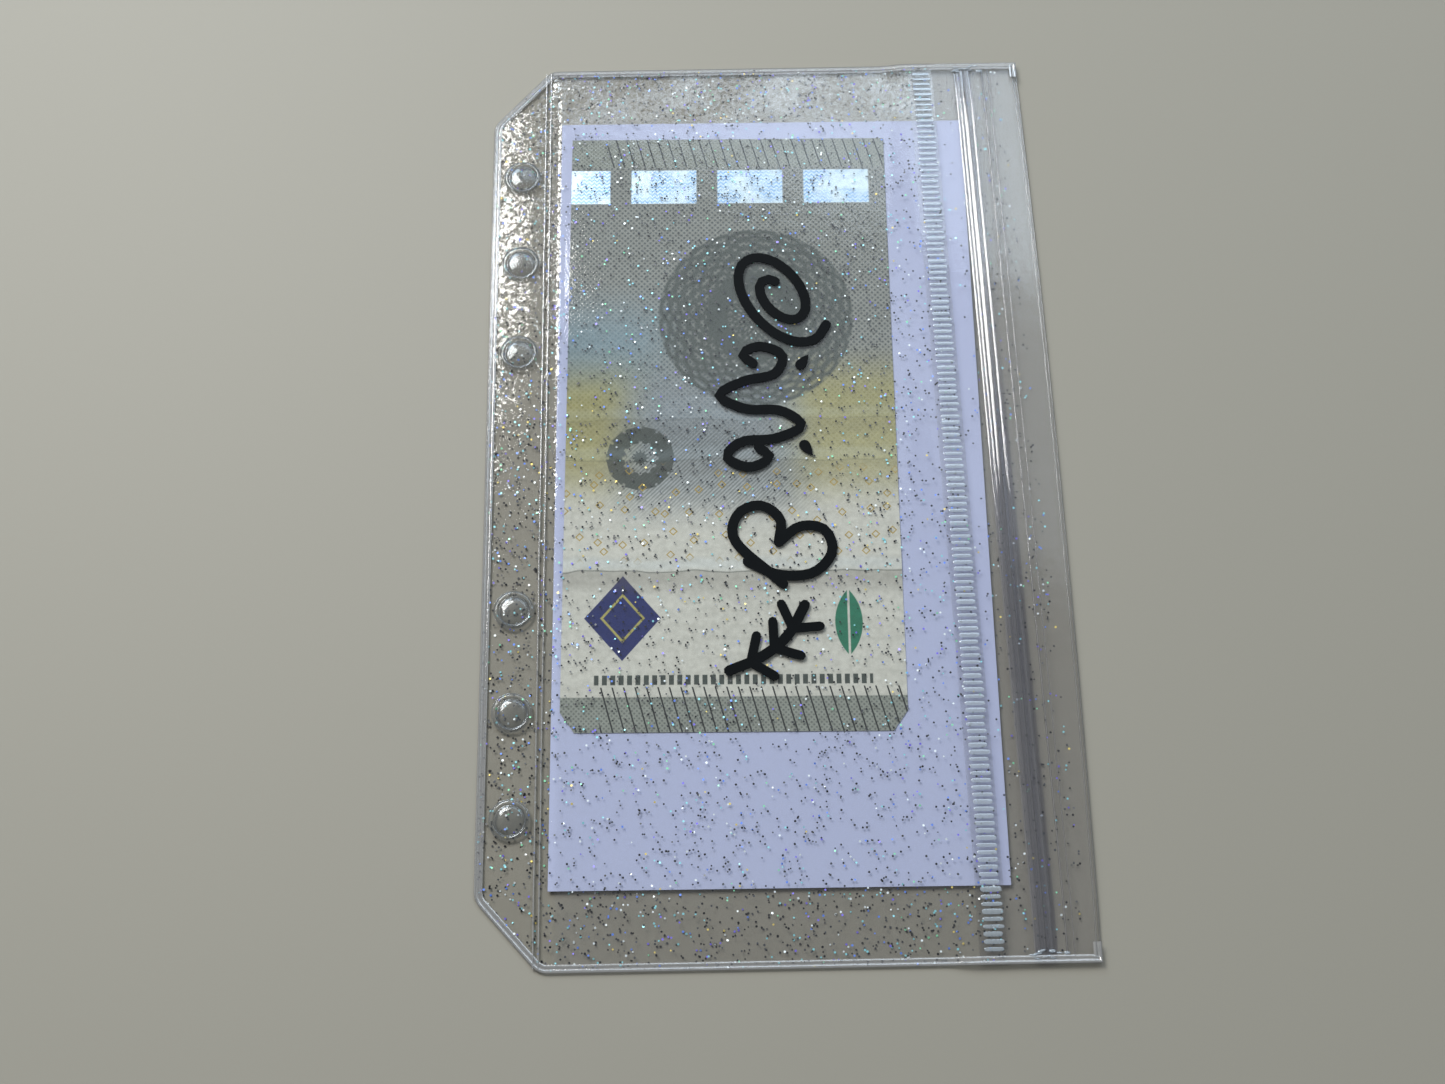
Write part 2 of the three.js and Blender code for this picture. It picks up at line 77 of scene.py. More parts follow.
def srgb(red: int, green: int, blue: int) -> Colour:
    """Turns a colour as seen on a screen into the linear one that a shader takes.

    Args:
        red: Red from 0 to 255.
        green: Green from 0 to 255.
        blue: Blue from 0 to 255.

    Returns:
        The linear colour.
    """
    shares = (value / 255 for value in (red, green, blue))
    return tuple(s / 12.92 if s <= 0.04045 else ((s + 0.055) / 1.055) ** 2.4 for s in shares)


def eased(value: np.ndarray) -> np.ndarray:
    """Eases a value from 0 to 1, flat at both ends."""
    t = np.clip(value, 0, 1)
    return t * t * (3 - 2 * t)


class Slot(Enum):
    """The record's material slots."""

    FILM = "clear_film"
    ZIP = "zip_plastic"
    CARD = "white_card"
    PAPER = "printed_paper"
    VINYL = "black_vinyl"


class Side(Enum):
    """The pocket's two sheets of glitter film."""

    FRONT = "front"
    BACK = "back"


@dataclass(frozen=True)
class PocketLayout:
    """Lines and heights of the pocket, in metres, worked out from the frame's box.

    The heights repeat the stack of the solids: back film, zip tapes, card, note and front film.
    """

    left: float
    right: float
    top: float
    corner_cut_width: float = 11.3 * MM
    corner_cut_height: float = 12.5 * MM
    film: float = 0.25 * MM
    hairline: float = 0.02 * MM
    rim: float = 1.1 * MM
    rim_ridges: float = 1.5 * MM
    binder_margin: float = 10.2 * MM
    margin_weld: float = 1.1 * MM
    zip_inset: float = 11.2 * MM
    zip_slope: float = 0.0172
    zip_height: float = 1.0 * MM
    crushed_zip: float = 0.16 * MM
    ladder_to_zip: float = 8.9 * MM
    ladder_width: float = 3.6 * MM
    tape_overlap: float = 0.7 * MM
    film_overlap: float = 0.5 * MM
    lip_inset_top: float = 2.1 * MM
    lip_inset_bottom: float = 0.3 * MM
    lip_bow: float = 0.794 * MM
    card_gap: float = 1.9 * MM
    end_run: float = 12.8 * MM
    over_card: float = 1.27 * MM
    plateau: float = 1.35 * MM
    plateau_run: float = 14 * MM
    climb_run: float = 6 * MM

    @property
    def weld_left(self) -> float:
        """The left line of the weld that closes the pocket towards the binder margin."""
        return self.left + self.binder_margin

    @property
    def weld_right(self) -> float:
        """The right line of that weld."""
        return self.weld_left + self.margin_weld

    @property
    def seat(self) -> float:
        """The underside of the front film where it is welded to the back film."""
        return self.film + self.hairline

    def zip_middle(self, y: np.ndarray) -> np.ndarray:
        """The zip's middle line, which runs a little askew."""
        return self.right - self.zip_inset - self.zip_slope * y

    def ladder_middle(self, y: np.ndarray) -> np.ndarray:
        """The ladder weld's middle line."""
        return self.zip_middle(y) - self.ladder_to_zip

    def tape_left(self, y: np.ndarray) -> np.ndarray:
        """The inner edge of both zip tapes."""
        return self.ladder_middle(y) - self.ladder_width / 2 - self.tape_overlap

    def film_right(self, y: np.ndarray) -> np.ndarray:
        """The right edge of the glitter films."""
        return self.ladder_middle(y) + self.ladder_width / 2 + self.film_overlap

    def opening(self, y: np.ndarray) -> np.ndarray:
        """How far the pocket is open: 0 at the welded ends and 1 along the middle."""
        s = np.clip((self.top - self.rim - np.abs(y)) / self.end_run, 0, 1)
        return s * (2 - s)

    def front_tape_top(self, y: np.ndarray) -> np.ndarray:
        """The upper face of the front zip tape."""
        zip_gap = self.crushed_zip + (self.zip_height - self.crushed_zip) * self.opening(y)
        return self.seat + self.film + zip_gap + self.film

    def film_under(self, x: np.ndarray, y: np.ndarray) -> np.ndarray:
        """The underside of the front film, which rises over the card, the note and the tapes.

        Args:
            x: Places across the pocket.
            y: Places along the pocket.

        Returns:
            The height at each place.
        """
        share = self.opening(y)
        tape = self.front_tape_top(y) + self.hairline
        card_left = self.weld_right + self.card_gap
        seat = np.full_like(y, self.seat)
        over_card = seat + (self.over_card - seat) * share
        plateau = seat + (self.plateau - seat) * share
        lines = [
            (self.weld_right, seat),
            (card_left, over_card),
            (card_left + self.plateau_run, plateau),
            (self.tape_left(y) - self.climb_run, plateau),
            (self.tape_left(y) - self.tape_overlap / 2, tape),
        ]
        height = seat
        for (x0, z0), (x1, z1) in zip(lines, lines[1:]):
            height = np.where(x > x0, z0 + (z1 - z0) * eased((x - x0) / (x1 - x0)), height)
        return np.where(x > lines[-1][0], tape, height)


# Modelling helpers


def start_clean() -> None:
    """Leaves edit mode and deselects everything, so that an operator acts on the new piece alone."""
    if bpy.context.object and bpy.context.object.mode != "OBJECT":
        bpy.ops.object.mode_set(mode="OBJECT")
    bpy.ops.object.select_all(action="DESELECT")


def points_of(piece: bpy.types.Object) -> np.ndarray:
    """All points of a mesh as an array with one row each.

    Args:
        piece: The piece to read.

    Returns:
        Its points in metres.
    """
    flat = np.zeros(len(piece.data.vertices) * 3)
    piece.data.vertices.foreach_get("co", flat)
    return flat.reshape(-1, 3)


def move_points(piece: bpy.types.Object, points: np.ndarray) -> None:
    """Writes all points of a mesh back."""
    piece.data.vertices.foreach_set("co", points.astype(np.float32).ravel())
    piece.data.update()


def select_only(piece: bpy.types.Object) -> None:
    """Selects one object and makes it the active one.

    Args:
        piece: The piece to select.
    """
    start_clean()
    piece.select_set(True)
    bpy.context.view_layer.objects.active = piece


def apply_modifier(piece: bpy.types.Object, kind: str, **settings: object) -> None:
    """Adds a modifier with these settings and applies it.

    Args:
        piece: The piece to change.
        kind: The modifier's type.
        settings: The modifier's own settings.
    """
    select_only(piece)
    modifier = piece.modifiers.new(kind.title(), kind)
    for name, value in settings.items():
        setattr(modifier, name, value)
    bpy.ops.object.modifier_apply(modifier=modifier.name)


def settle(piece: bpy.types.Object, name: str) -> bpy.types.Object:
    """Names a piece, puts its place into its mesh and smooths its shading.

    Args:
        piece: The finished piece.
        name: Its name in a maker's words.

    Returns:
        The same piece.
    """
    select_only(piece)
    piece.name = name
    piece.data.name = name
    bpy.ops.object.transform_apply(location=True, rotation=True, scale=True)
    bpy.ops.object.shade_smooth_by_angle(angle=SMOOTH_BELOW)
    return piece


def join(pieces: Sequence[bpy.types.Object]) -> bpy.types.Object:
    """Joins several meshes into the first one.

    Args:
        pieces: The pieces to join.

    Returns:
        The first piece, which now holds them all.
    """
    select_only(pieces[0])
    for piece in pieces:
        piece.select_set(True)
    bpy.ops.object.join()
    return pieces[0]


def tube(path: Sequence[Point], radius: float, rounds: int = 3) -> bpy.types.Object:
    """A closed round bar along a path.

    Args:
        path: The middle line's points.
        radius: The bar's radius.
        rounds: How finely the bar is rounded.

    Returns:
        The bar as a mesh.
    """
    start_clean()
    bpy.ops.curve.primitive_nurbs_path_add(location=(0, 0, 0))
    curve = bpy.context.object
    curve.data.splines.clear()
    spline = curve.data.splines.new("POLY")
    spline.points.add(len(path) - 1)
    for point, place in zip(spline.points, path):
        point.co = (*place, 1)
    curve.data.bevel_depth = radius
    curve.data.bevel_resolution = rounds
    curve.data.use_fill_caps = True
    bpy.ops.object.convert(target="MESH")
    return bpy.context.object


def face_outwards(piece: bpy.types.Object, merge: float = 1e-6) -> None:
    """Merges doubled points and turns all faces outwards.

    Args:
        piece: The closed piece.
        merge: How close two points are to be one.
    """
    select_only(piece)
    bpy.ops.object.mode_set(mode="EDIT")
    bpy.ops.mesh.select_all(action="SELECT")
    bpy.ops.mesh.remove_doubles(threshold=merge)
    bpy.ops.mesh.normals_make_consistent(inside=False)
    bpy.ops.object.mode_set(mode="OBJECT")


def give(piece: bpy.types.Object, material: bpy.types.Material, slot: Slot, *nodes: str) -> None:
    """Dresses a piece, lets it ride on the part and hides the CAD nodes that it stands for.

    Args:
        piece: The finished piece.
        material: Its finish.
        slot: Not used.
        nodes: The CAD nodes that it stands for, if any.
    """
    piece.data.materials.clear()
    piece.data.materials.append(material)
    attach(piece, "root")
    if nodes:
        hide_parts(*nodes)
    LOG.info("%s: %d faces", piece.name, len(piece.data.polygons))


# Node helpers


class Bench:
    """Lays out the nodes of one tree and links them."""

    def __init__(self, tree: bpy.types.NodeTree) -> None:
        """Takes the tree to work on and clears it."""
        self.tree = tree
        tree.nodes.clear()

    def node(self, kind: str, **settings: object) -> bpy.types.Node:
        """Adds a node of a kind with these settings.

        Args:
            kind: The node's type.
            settings: Its own settings.

        Returns:
            The node.
        """
        made = self.tree.nodes.new(kind)
        for name, value in settings.items():
            setattr(made, name, value)
        return made

    def feed(self, socket: Socket, value: object) -> None:
        """Sets a socket to a constant, or links another socket to it.

        Args:
            socket: The input socket.
            value: A constant or another socket.
        """
        if isinstance(value, bpy.types.NodeSocket):
            self.tree.links.new(value, socket)
        elif hasattr(socket.default_value, "__len__") and len(socket.default_value) == 4:
            socket.default_value = (*value, 1)
        else:
            socket.default_value = value

    def math(self, operation: str, *values: Number, clamp: bool = False) -> Socket:
        """One step of arithmetic.

        Args:
            operation: What the node works out.
            values: Its inputs in order.
            clamp: Whether the result stays between 0 and 1.

        Returns:
            The result.
        """
        made = self.node("ShaderNodeMath", operation=operation, use_clamp=clamp)
        for socket, value in zip(made.inputs, values):
            self.feed(socket, value)
        return made.outputs[0]

    def lerp(self, share: Number, first: Number, second: Number) -> Socket:
        """Mixes two numbers."""
        return self.math("MULTIPLY_ADD", share, self.math("SUBTRACT", second, first), first)

    def mix(self, share: Number, first: object, second: object) -> Socket:
        """Mixes two colours.

        Args:
            share: How much of the second colour shows.
            first: The first colour.
            second: The second colour.

        Returns:
            The mixed colour.
        """
        made = self.node("ShaderNodeMix", data_type="RGBA")
        self.feed(made.inputs[0], share)
        self.feed(made.inputs[6], first)
        self.feed(made.inputs[7], second)
        return made.outputs[2]

    def rise(self, value: Number, low: float, high: float) -> Socket:
        """A soft step from 0 below low to 1 above high.

        Args:
            value: The value to judge.
            low: Where the step starts.
            high: Where it ends.

        Returns:
            The mask.
        """
        made = self.node("ShaderNodeMapRange", interpolation_type="SMOOTHSTEP")
        for name, setting in (("Value", value), ("From Min", low), ("From Max", high)):
            self.feed(made.inputs[name], setting)
        return made.outputs[0]

    def band(self, value: Number, low: float, high: float, soft: float) -> Socket:
        """A soft mask that is 1 from low to high.

        Args:
            value: The value to judge.
            low: Where the band starts.
            high: Where it ends.
            soft: How soft both its ends are.

        Returns:
            The mask.
        """
        up = self.rise(value, low - soft, low + soft)
        down = self.rise(value, high - soft, high + soft)
        return self.math("SUBTRACT", up, down, clamp=True)

    def both(self, *masks: Number) -> Socket:
        """A mask where all the given ones are.

        Args:
            masks: The masks.

        Returns:
            Their product.
        """
        product = masks[0]
        for mask in masks[1:]:
            product = self.math("MULTIPLY", product, mask)
        return product

    def noise(self, vector: Socket, scale: float, detail: float = 3, output: int = 0) -> Socket:
        """Smooth noise around 0.5.

        Args:
            vector: Where the noise is read.
            scale: How fine it is.
            detail: How many finer layers it has.
            output: Which output is taken.

        Returns:
            The noise.
        """
        made = self.node("ShaderNodeTexNoise")
        self.feed(made.inputs["Vector"], vector)
        self.feed(made.inputs["Scale"], scale)
        self.feed(made.inputs["Detail"], detail)
        return made.outputs[output]

    def wave(self, value: Number, period: float, phase: Number = 0.0) -> Socket:
        """A sine between 0 and 1 with this period."""
        turned = self.math("MULTIPLY_ADD", value, 2 * math.pi / period, phase)
        return self.math("MULTIPLY_ADD", self.math("SINE", turned), 0.5, 0.5)

    def place(self) -> Socket:
        """Object coordinates."""
        return self.node("ShaderNodeTexCoord").outputs["Object"]

    def split(self, vector: Socket) -> tuple[Socket, Socket, Socket]:
        """The three coordinates of a vector.

        Args:
            vector: The vector.

        Returns:
            Its x, y and z.
        """
        made = self.node("ShaderNodeSeparateXYZ")
        self.feed(made.inputs[0], vector)
        return made.outputs[0], made.outputs[1], made.outputs[2]

    def group(self, tree: bpy.types.NodeTree, **values: object) -> bpy.types.Node:
        """Places a node group with its own values.

        Args:
            tree: The node group.
            values: The values of its inputs.

        Returns:
            The group's node.
        """
        made = self.node("ShaderNodeGroup", node_tree=tree)
        for name, value in values.items():
            self.feed(made.inputs[name.replace("_", " ")], value)
        return made

    def finish(self, shader: Socket) -> None:
        """Links a shader to the material's output."""
        self.tree.links.new(shader, self.node("ShaderNodeOutputMaterial").inputs["Surface"])


def new_group(name: str, inputs: dict[str, float], outputs: dict[str, str]) -> tuple:
    """Starts a shader node group.

    Args:
        name: The group's name.
        inputs: Its number inputs and their values.
        outputs: Its outputs and their socket kinds.

    Returns:
        The group, its bench, the input node and the output node.
    """
    tree = bpy.data.node_groups.new(name, "ShaderNodeTree")
    for label, value in inputs.items():
        socket = tree.interface.new_socket(label, in_out="INPUT", socket_type="NodeSocketFloat")
        socket.default_value = value
    for label, kind in outputs.items():
        tree.interface.new_socket(label, in_out="OUTPUT", socket_type=kind)
    bench = Bench(tree)
    return tree, bench, bench.node("NodeGroupInput"), bench.node("NodeGroupOutput")


def film_surface_group(broad_scale: float = 260, fine_scale: float = 2200) -> bpy.types.NodeTree:
    """The moulded unevenness of soft film: broad ripples and fine orange peel.

    Args:
        broad_scale: How fine the ripples are.
        fine_scale: How fine the orange peel is.

    Returns:
        The node group.
    """
    tree, bench, given, out = new_group(
        "film_surface",
        {"Ripple": 0.3, "Peel": 0.1},
        {"Normal": "NodeSocketVector"},
    )
    place = bench.place()
    broad = bench.noise(place, broad_scale, 2)
    fine = bench.noise(place, fine_scale, 2)
    rough = bench.math("MULTIPLY", fine, given.outputs["Peel"])
    height = bench.math("MULTIPLY_ADD", broad, given.outputs["Ripple"], rough)
    bump = bench.node("ShaderNodeBump")
    bump.inputs["Distance"].default_value = 1 * MM
    bump.inputs["Strength"].default_value = 1
    bench.feed(bump.inputs["Height"], height)
    bench.feed(out.inputs["Normal"], bump.outputs[0])
    return tree


def fibre_group(depth: float = 0.05 * MM) -> bpy.types.NodeTree:
    """Paper fibre: a fine mottled tone and a slight roughness of the surface.

    Args:
        depth: How high the fibres stand.

    Returns:
        The node group.
    """
    tree, bench, given, out = new_group(
        "paper_fibre",
        {"Scale": 1200, "Relief": 0.2},
        {"Tone": "NodeSocketFloat", "Normal": "NodeSocketVector"},
    )
    noise = bench.noise(bench.place(), given.outputs["Scale"], 4)
    bump = bench.node("ShaderNodeBump")
    bump.inputs["Distance"].default_value = depth
    bench.feed(bump.inputs["Strength"], given.outputs["Relief"])
    bench.feed(bump.inputs["Height"], noise)
    bench.feed(out.inputs["Tone"], noise)
    bench.feed(out.inputs["Normal"], bump.outputs[0])
    return tree


# Finishes


@dataclass(frozen=True)
class FilmFinish:
    """Clear soft film: see-through, glossy by angle, and darker where it is seen edge on."""

    name: str
    tint: Colour
    edge_tint: Colour
    ripple: float = 0.05
    peel: float = 0.012
    roughness: float = 0.1
    straight_on: float = 0.045
    metallic: float = 0.85
    edge_gain: float = 1.0
    falloff: float = 5.0
    edge_power: float = 1.5
    sheen: Colour = (0.97, 0.97, 0.97)

    def tinted(self, bench: Bench) -> Union[Colour, Socket]:
        """The colour that shows through, before the darker edges."""
        return self.tint

    def relief(self, bench: Bench) -> tuple[Number, Number]:
        """How strong the ripples and the orange peel are."""
        return self.ripple, self.peel

    def patches(self, bench: Bench) -> Number:
        """How much of its gloss the film keeps from place to place."""
        return 1.0

    def make(self, surface: bpy.types.NodeTree) -> bpy.types.Material:
        """Builds the material on the shared film surface.

        Args:
            surface: The node group of the film's surface.

        Returns:
            The finish as a material.
        """
        material = bpy.data.materials.new(self.name)
        material.use_nodes = True
        bench = Bench(material.node_tree)
        ripple, peel = self.relief(bench)
        skin = bench.group(surface, Ripple=ripple, Peel=peel)
        weight = bench.node("ShaderNodeLayerWeight")
        weight.inputs["Blend"].default_value = 0.5
        bench.feed(weight.inputs["Normal"], skin.outputs["Normal"])
        facing = weight.outputs["Facing"]
        grazing = bench.math("POWER", facing, self.falloff)
        gloss = bench.math("MULTIPLY_ADD", grazing, 1 - self.straight_on, self.straight_on)
        patched = bench.math("MULTIPLY", gloss, self.patches(bench), clamp=True)
        steep = bench.math("MULTIPLY", facing, self.edge_gain)
        edge = bench.math("POWER", steep, self.edge_power, clamp=True)
        clear = bench.node("ShaderNodeBsdfTransparent")
        bench.feed(clear.inputs["Color"], bench.mix(edge, self.tinted(bench), self.edge_tint))
        shine = bench.node("ShaderNodeBsdfPrincipled")
        bench.feed(shine.inputs["Base Color"], self.sheen)
        shine.inputs["Metallic"].default_value = self.metallic
        shine.inputs["Roughness"].default_value = self.roughness
        bench.feed(shine.inputs["Normal"], skin.outputs["Normal"])
        mixed = bench.node("ShaderNodeMixShader")
        bench.feed(mixed.inputs[0], patched)
        bench.feed(mixed.inputs[1], clear.outputs[0])
        bench.feed(mixed.inputs[2], shine.outputs[0])
        bench.finish(mixed.outputs[0])
        return material


@dataclass(frozen=True, kw_only=True)
class SheetFinish(FilmFinish):
    """The glitter film, which is more rumpled on the binder margin and along the top."""

    layout: PocketLayout
    rings: "PunchOutRings"
    margin_ripple: float = 0.045
    margin_peel: float = 0.022
    top_ripple: float = 0.06
    top_peel: float = 0.028
    dimples: float = 1300
    margin_fade: Span = (3.2 * MM, 4.4 * MM)
    top_fade: Span = (15 * MM, 10 * MM)
    disc_fade: Span = (3.2 * MM, 3.5 * MM)
    group_fade: Span = (17 * MM, 19 * MM)
    inward_fall: float = -9.0
    upward_gain: float = 2.0
    upward_start: float = -0.055
    upward_most: float = 0.04
    past_weld: float = 0.085
    past_weld_run: float = 0.4 * MM
    lit_tone: Span = (0.50, 0.58)
    under_discs: float = -0.9
    margin_gloss: float = 1.3
    margin_least: float = 0.05
    clouds: float = 95
    cloud_tone: Span = (0.40, 0.62)
    cloud_gloss: float = 0.6
    top_least: float = 0.12
    zip_side: Span = (-15 * MM, 12 * MM)
    zip_side_gloss: float = 0.45
    speckle_tone: Span = (0.44, 0.58)
    speckle_gloss: float = 0.95

    def zones(self, bench: Bench) -> tuple[Socket, Socket, Socket, Socket]:
        """Both coordinates, and the masks of the binder margin and of the top band.

        Args:
            bench: The bench to build on.

        Returns:
            The place across and along the pocket, and both masks.
        """
        x, y, _ = bench.split(bench.place())
        weld, top = self.layout.weld_left, self.layout.top
        near, far = self.margin_fade
        margin = bench.math("SUBTRACT", 1.0, bench.rise(x, weld + near, weld + far))
        start, full = self.top_fade
        return x, y, margin, bench.rise(y, top - start, top - full)

    def discs(self, bench: Bench, x: Socket, y: Socket) -> Socket:
        """A mask of the six discs, whose domes lie over the film.

        Args:
            bench: The bench to build on.
            x: The place across the pocket.
            y: The place along the pocket.

        Returns:
            The mask.
        """
        rings = self.rings
        away = bench.math("ABSOLUTE", bench.math("SUBTRACT", y, rings.shift))
        along = bench.math("SUBTRACT", away, rings.group_gap / 2)
        along = bench.math("PINGPONG", along, rings.pitch / 2)
        across = bench.math("SUBTRACT", x, self.layout.left + rings.inset)
        squares = bench.math("MULTIPLY_ADD", along, along, bench.math("MULTIPLY", across, across))
        radius = bench.math("SQRT", squares)
        round_mask = bench.math("SUBTRACT", 1.0, bench.rise(radius, *self.disc_fade))
        return bench.math("MULTIPLY", round_mask, bench.rise(away, *self.group_fade))

    def relief(self, bench: Bench) -> tuple[Number, Number]:
        """Stronger relief on the margin and in the top band.

        Args:
            bench: The bench to build on.

        Returns:
            The strength of the ripples and of the orange peel.
        """
        _, _, margin, band = self.zones(bench)
        ripple = bench.math("MULTIPLY_ADD", margin, self.margin_ripple, self.ripple)
        peel = bench.math("MULTIPLY_ADD", margin, self.margin_peel, self.peel)
        return (
            bench.math("MULTIPLY_ADD", band, self.top_ripple, ripple),
            bench.math("MULTIPLY_ADD", band, self.top_peel, peel),
        )

    def patches(self, bench: Bench) -> Number:
        """Dimples break the gloss up, thinly at the margin's middle and thickly at its top.

        Args:
            bench: The bench to build on.

        Returns:
            The share of its gloss that the film keeps.
        """
        x, y, margin, band = self.zones(bench)
        layout = self.layout
        dimpled = bench.noise(bench.place(), self.dimples, 3)
        inward = bench.math("SUBTRACT", bench.math("MINIMUM", x, layout.weld_left), layout.left)
        upward = bench.math("MULTIPLY_ADD", y, self.upward_gain, self.upward_start)
        upward = bench.math("MINIMUM", upward, self.upward_most)
        reach = bench.math("MULTIPLY_ADD", inward, self.inward_fall, upward)
        beside = bench.rise(x, layout.weld_right, layout.weld_right + self.past_weld_run)
        reach = bench.math("MULTIPLY_ADD", beside, self.past_weld, reach)
        lit = bench.rise(bench.math("ADD", dimpled, reach), *self.lit_tone)
        on_discs = bench.math("MULTIPLY", self.discs(bench, x, y), self.under_discs)
        spared = bench.math("MULTIPLY", lit, bench.math("ADD", on_discs, 1.0))
        on_margin = bench.math("MULTIPLY_ADD", spared, self.margin_gloss, self.margin_least)
        broad = bench.rise(bench.noise(bench.place(), self.clouds, 2), *self.cloud_tone)
        smooth = bench.math("MULTIPLY_ADD", broad, self.cloud_gloss, self.top_least)
        zip_side = bench.rise(x, *self.zip_side)
        smooth = bench.math("MULTIPLY_ADD", zip_side, self.zip_side_gloss, smooth)
        speckle = bench.rise(dimpled, *self.speckle_tone)
        on_top = bench.math("MULTIPLY_ADD", speckle, self.speckle_gloss, smooth)
        return bench.lerp(margin, bench.lerp(band, 1.0, on_top), on_margin)


@dataclass(frozen=True, kw_only=True)
class ZipFinish(FilmFinish):
    """Zip tape: like the film, with a darker band where the rib and groove lie over each other; the
    band fades out towards the top as painted light.
    """

    layout: PocketLayout
    band_tint: Colour = (0.90, 0.90, 0.92)
    band_half: float = 1.9 * MM
    band_soft: float = 0.1 * MM
    # Above this the band is gone: painted light on the zip's upper part.
    painted_light_above: float = 28 * MM
    painted_light_run: float = 25 * MM

    def tinted(self, bench: Bench) -> Socket:
        """The tint with the zip's own band, faded out towards the top as painted light.

        Args:
            bench: The bench to build on.

        Returns:
            The colour that shows through.
        """
        x, y, _ = bench.split(bench.place())
        straight = bench.math("MULTIPLY_ADD", y, self.layout.zip_slope, x)
        middle = self.layout.right - self.layout.zip_inset
        away = bench.math("ABSOLUTE", bench.math("SUBTRACT", straight, middle))
        half, soft = self.band_half, self.band_soft
        outside = bench.rise(away, half - soft, half + soft)
        # Painted light: the darker band fades out towards the zip's top, where the window light falls.
        upper = bench.rise(y, self.painted_light_above - self.painted_light_run, self.painted_light_above)
        return bench.mix(bench.math("MAXIMUM", outside, upper), self.band_tint, self.tint)


@dataclass(frozen=True)
class PlainFinish:
    """An opaque finish with a slight mottle from paper fibre or moulding."""

    name: str
    colour: Colour
    roughness: float
    mottle: float = 0.05
    relief: float = 0.2
    grain: float = 1200
    specular: float = 0.5

    def make(self, fibre: bpy.types.NodeTree) -> bpy.types.Material:
        """Builds the material on the shared fibre.

        Args:
            fibre: The node group of the paper fibre.

        Returns:
            The finish as a material.
        """
        material = bpy.data.materials.new(self.name)
        material.use_nodes = True
        bench = Bench(material.node_tree)
        skin = bench.group(fibre, Scale=self.grain, Relief=self.relief)
        darker = tuple(channel * (1 - self.mottle) for channel in self.colour)
        lighter = tuple(min(1.0, channel * (1 + self.mottle)) for channel in self.colour)
        shader = bench.node("ShaderNodeBsdfPrincipled")
        bench.feed(shader.inputs["Base Color"], bench.mix(skin.outputs["Tone"], darker, lighter))
        shader.inputs["Roughness"].default_value = self.roughness
        shader.inputs["Specular IOR Level"].default_value = self.specular
        bench.feed(shader.inputs["Normal"], skin.outputs["Normal"])
        bench.finish(shader.outputs[0])
        return material


@dataclass(frozen=True)
class GlitterFinish:
    """Foil flakes, each with its own colour, which the mesh holds."""

    name: str
    attribute: str = FLAKE_COLOUR
    metallic: float = 0.35
    roughness: float = 0.35

    def make(self) -> bpy.types.Material:
        """Builds the material that reads each flake's colour.

        Returns:
            The finish as a material.
        """
        material = bpy.data.materials.new(self.name)
        material.use_nodes = True
        bench = Bench(material.node_tree)
        colour = bench.node("ShaderNodeAttribute", attribute_name=self.attribute)
        shader = bench.node("ShaderNodeBsdfPrincipled")
        bench.feed(shader.inputs["Base Color"], colour.outputs["Color"])
        shader.inputs["Metallic"].default_value = self.metallic
        shader.inputs["Roughness"].default_value = self.roughness
        bench.finish(shader.outputs[0])
        return material


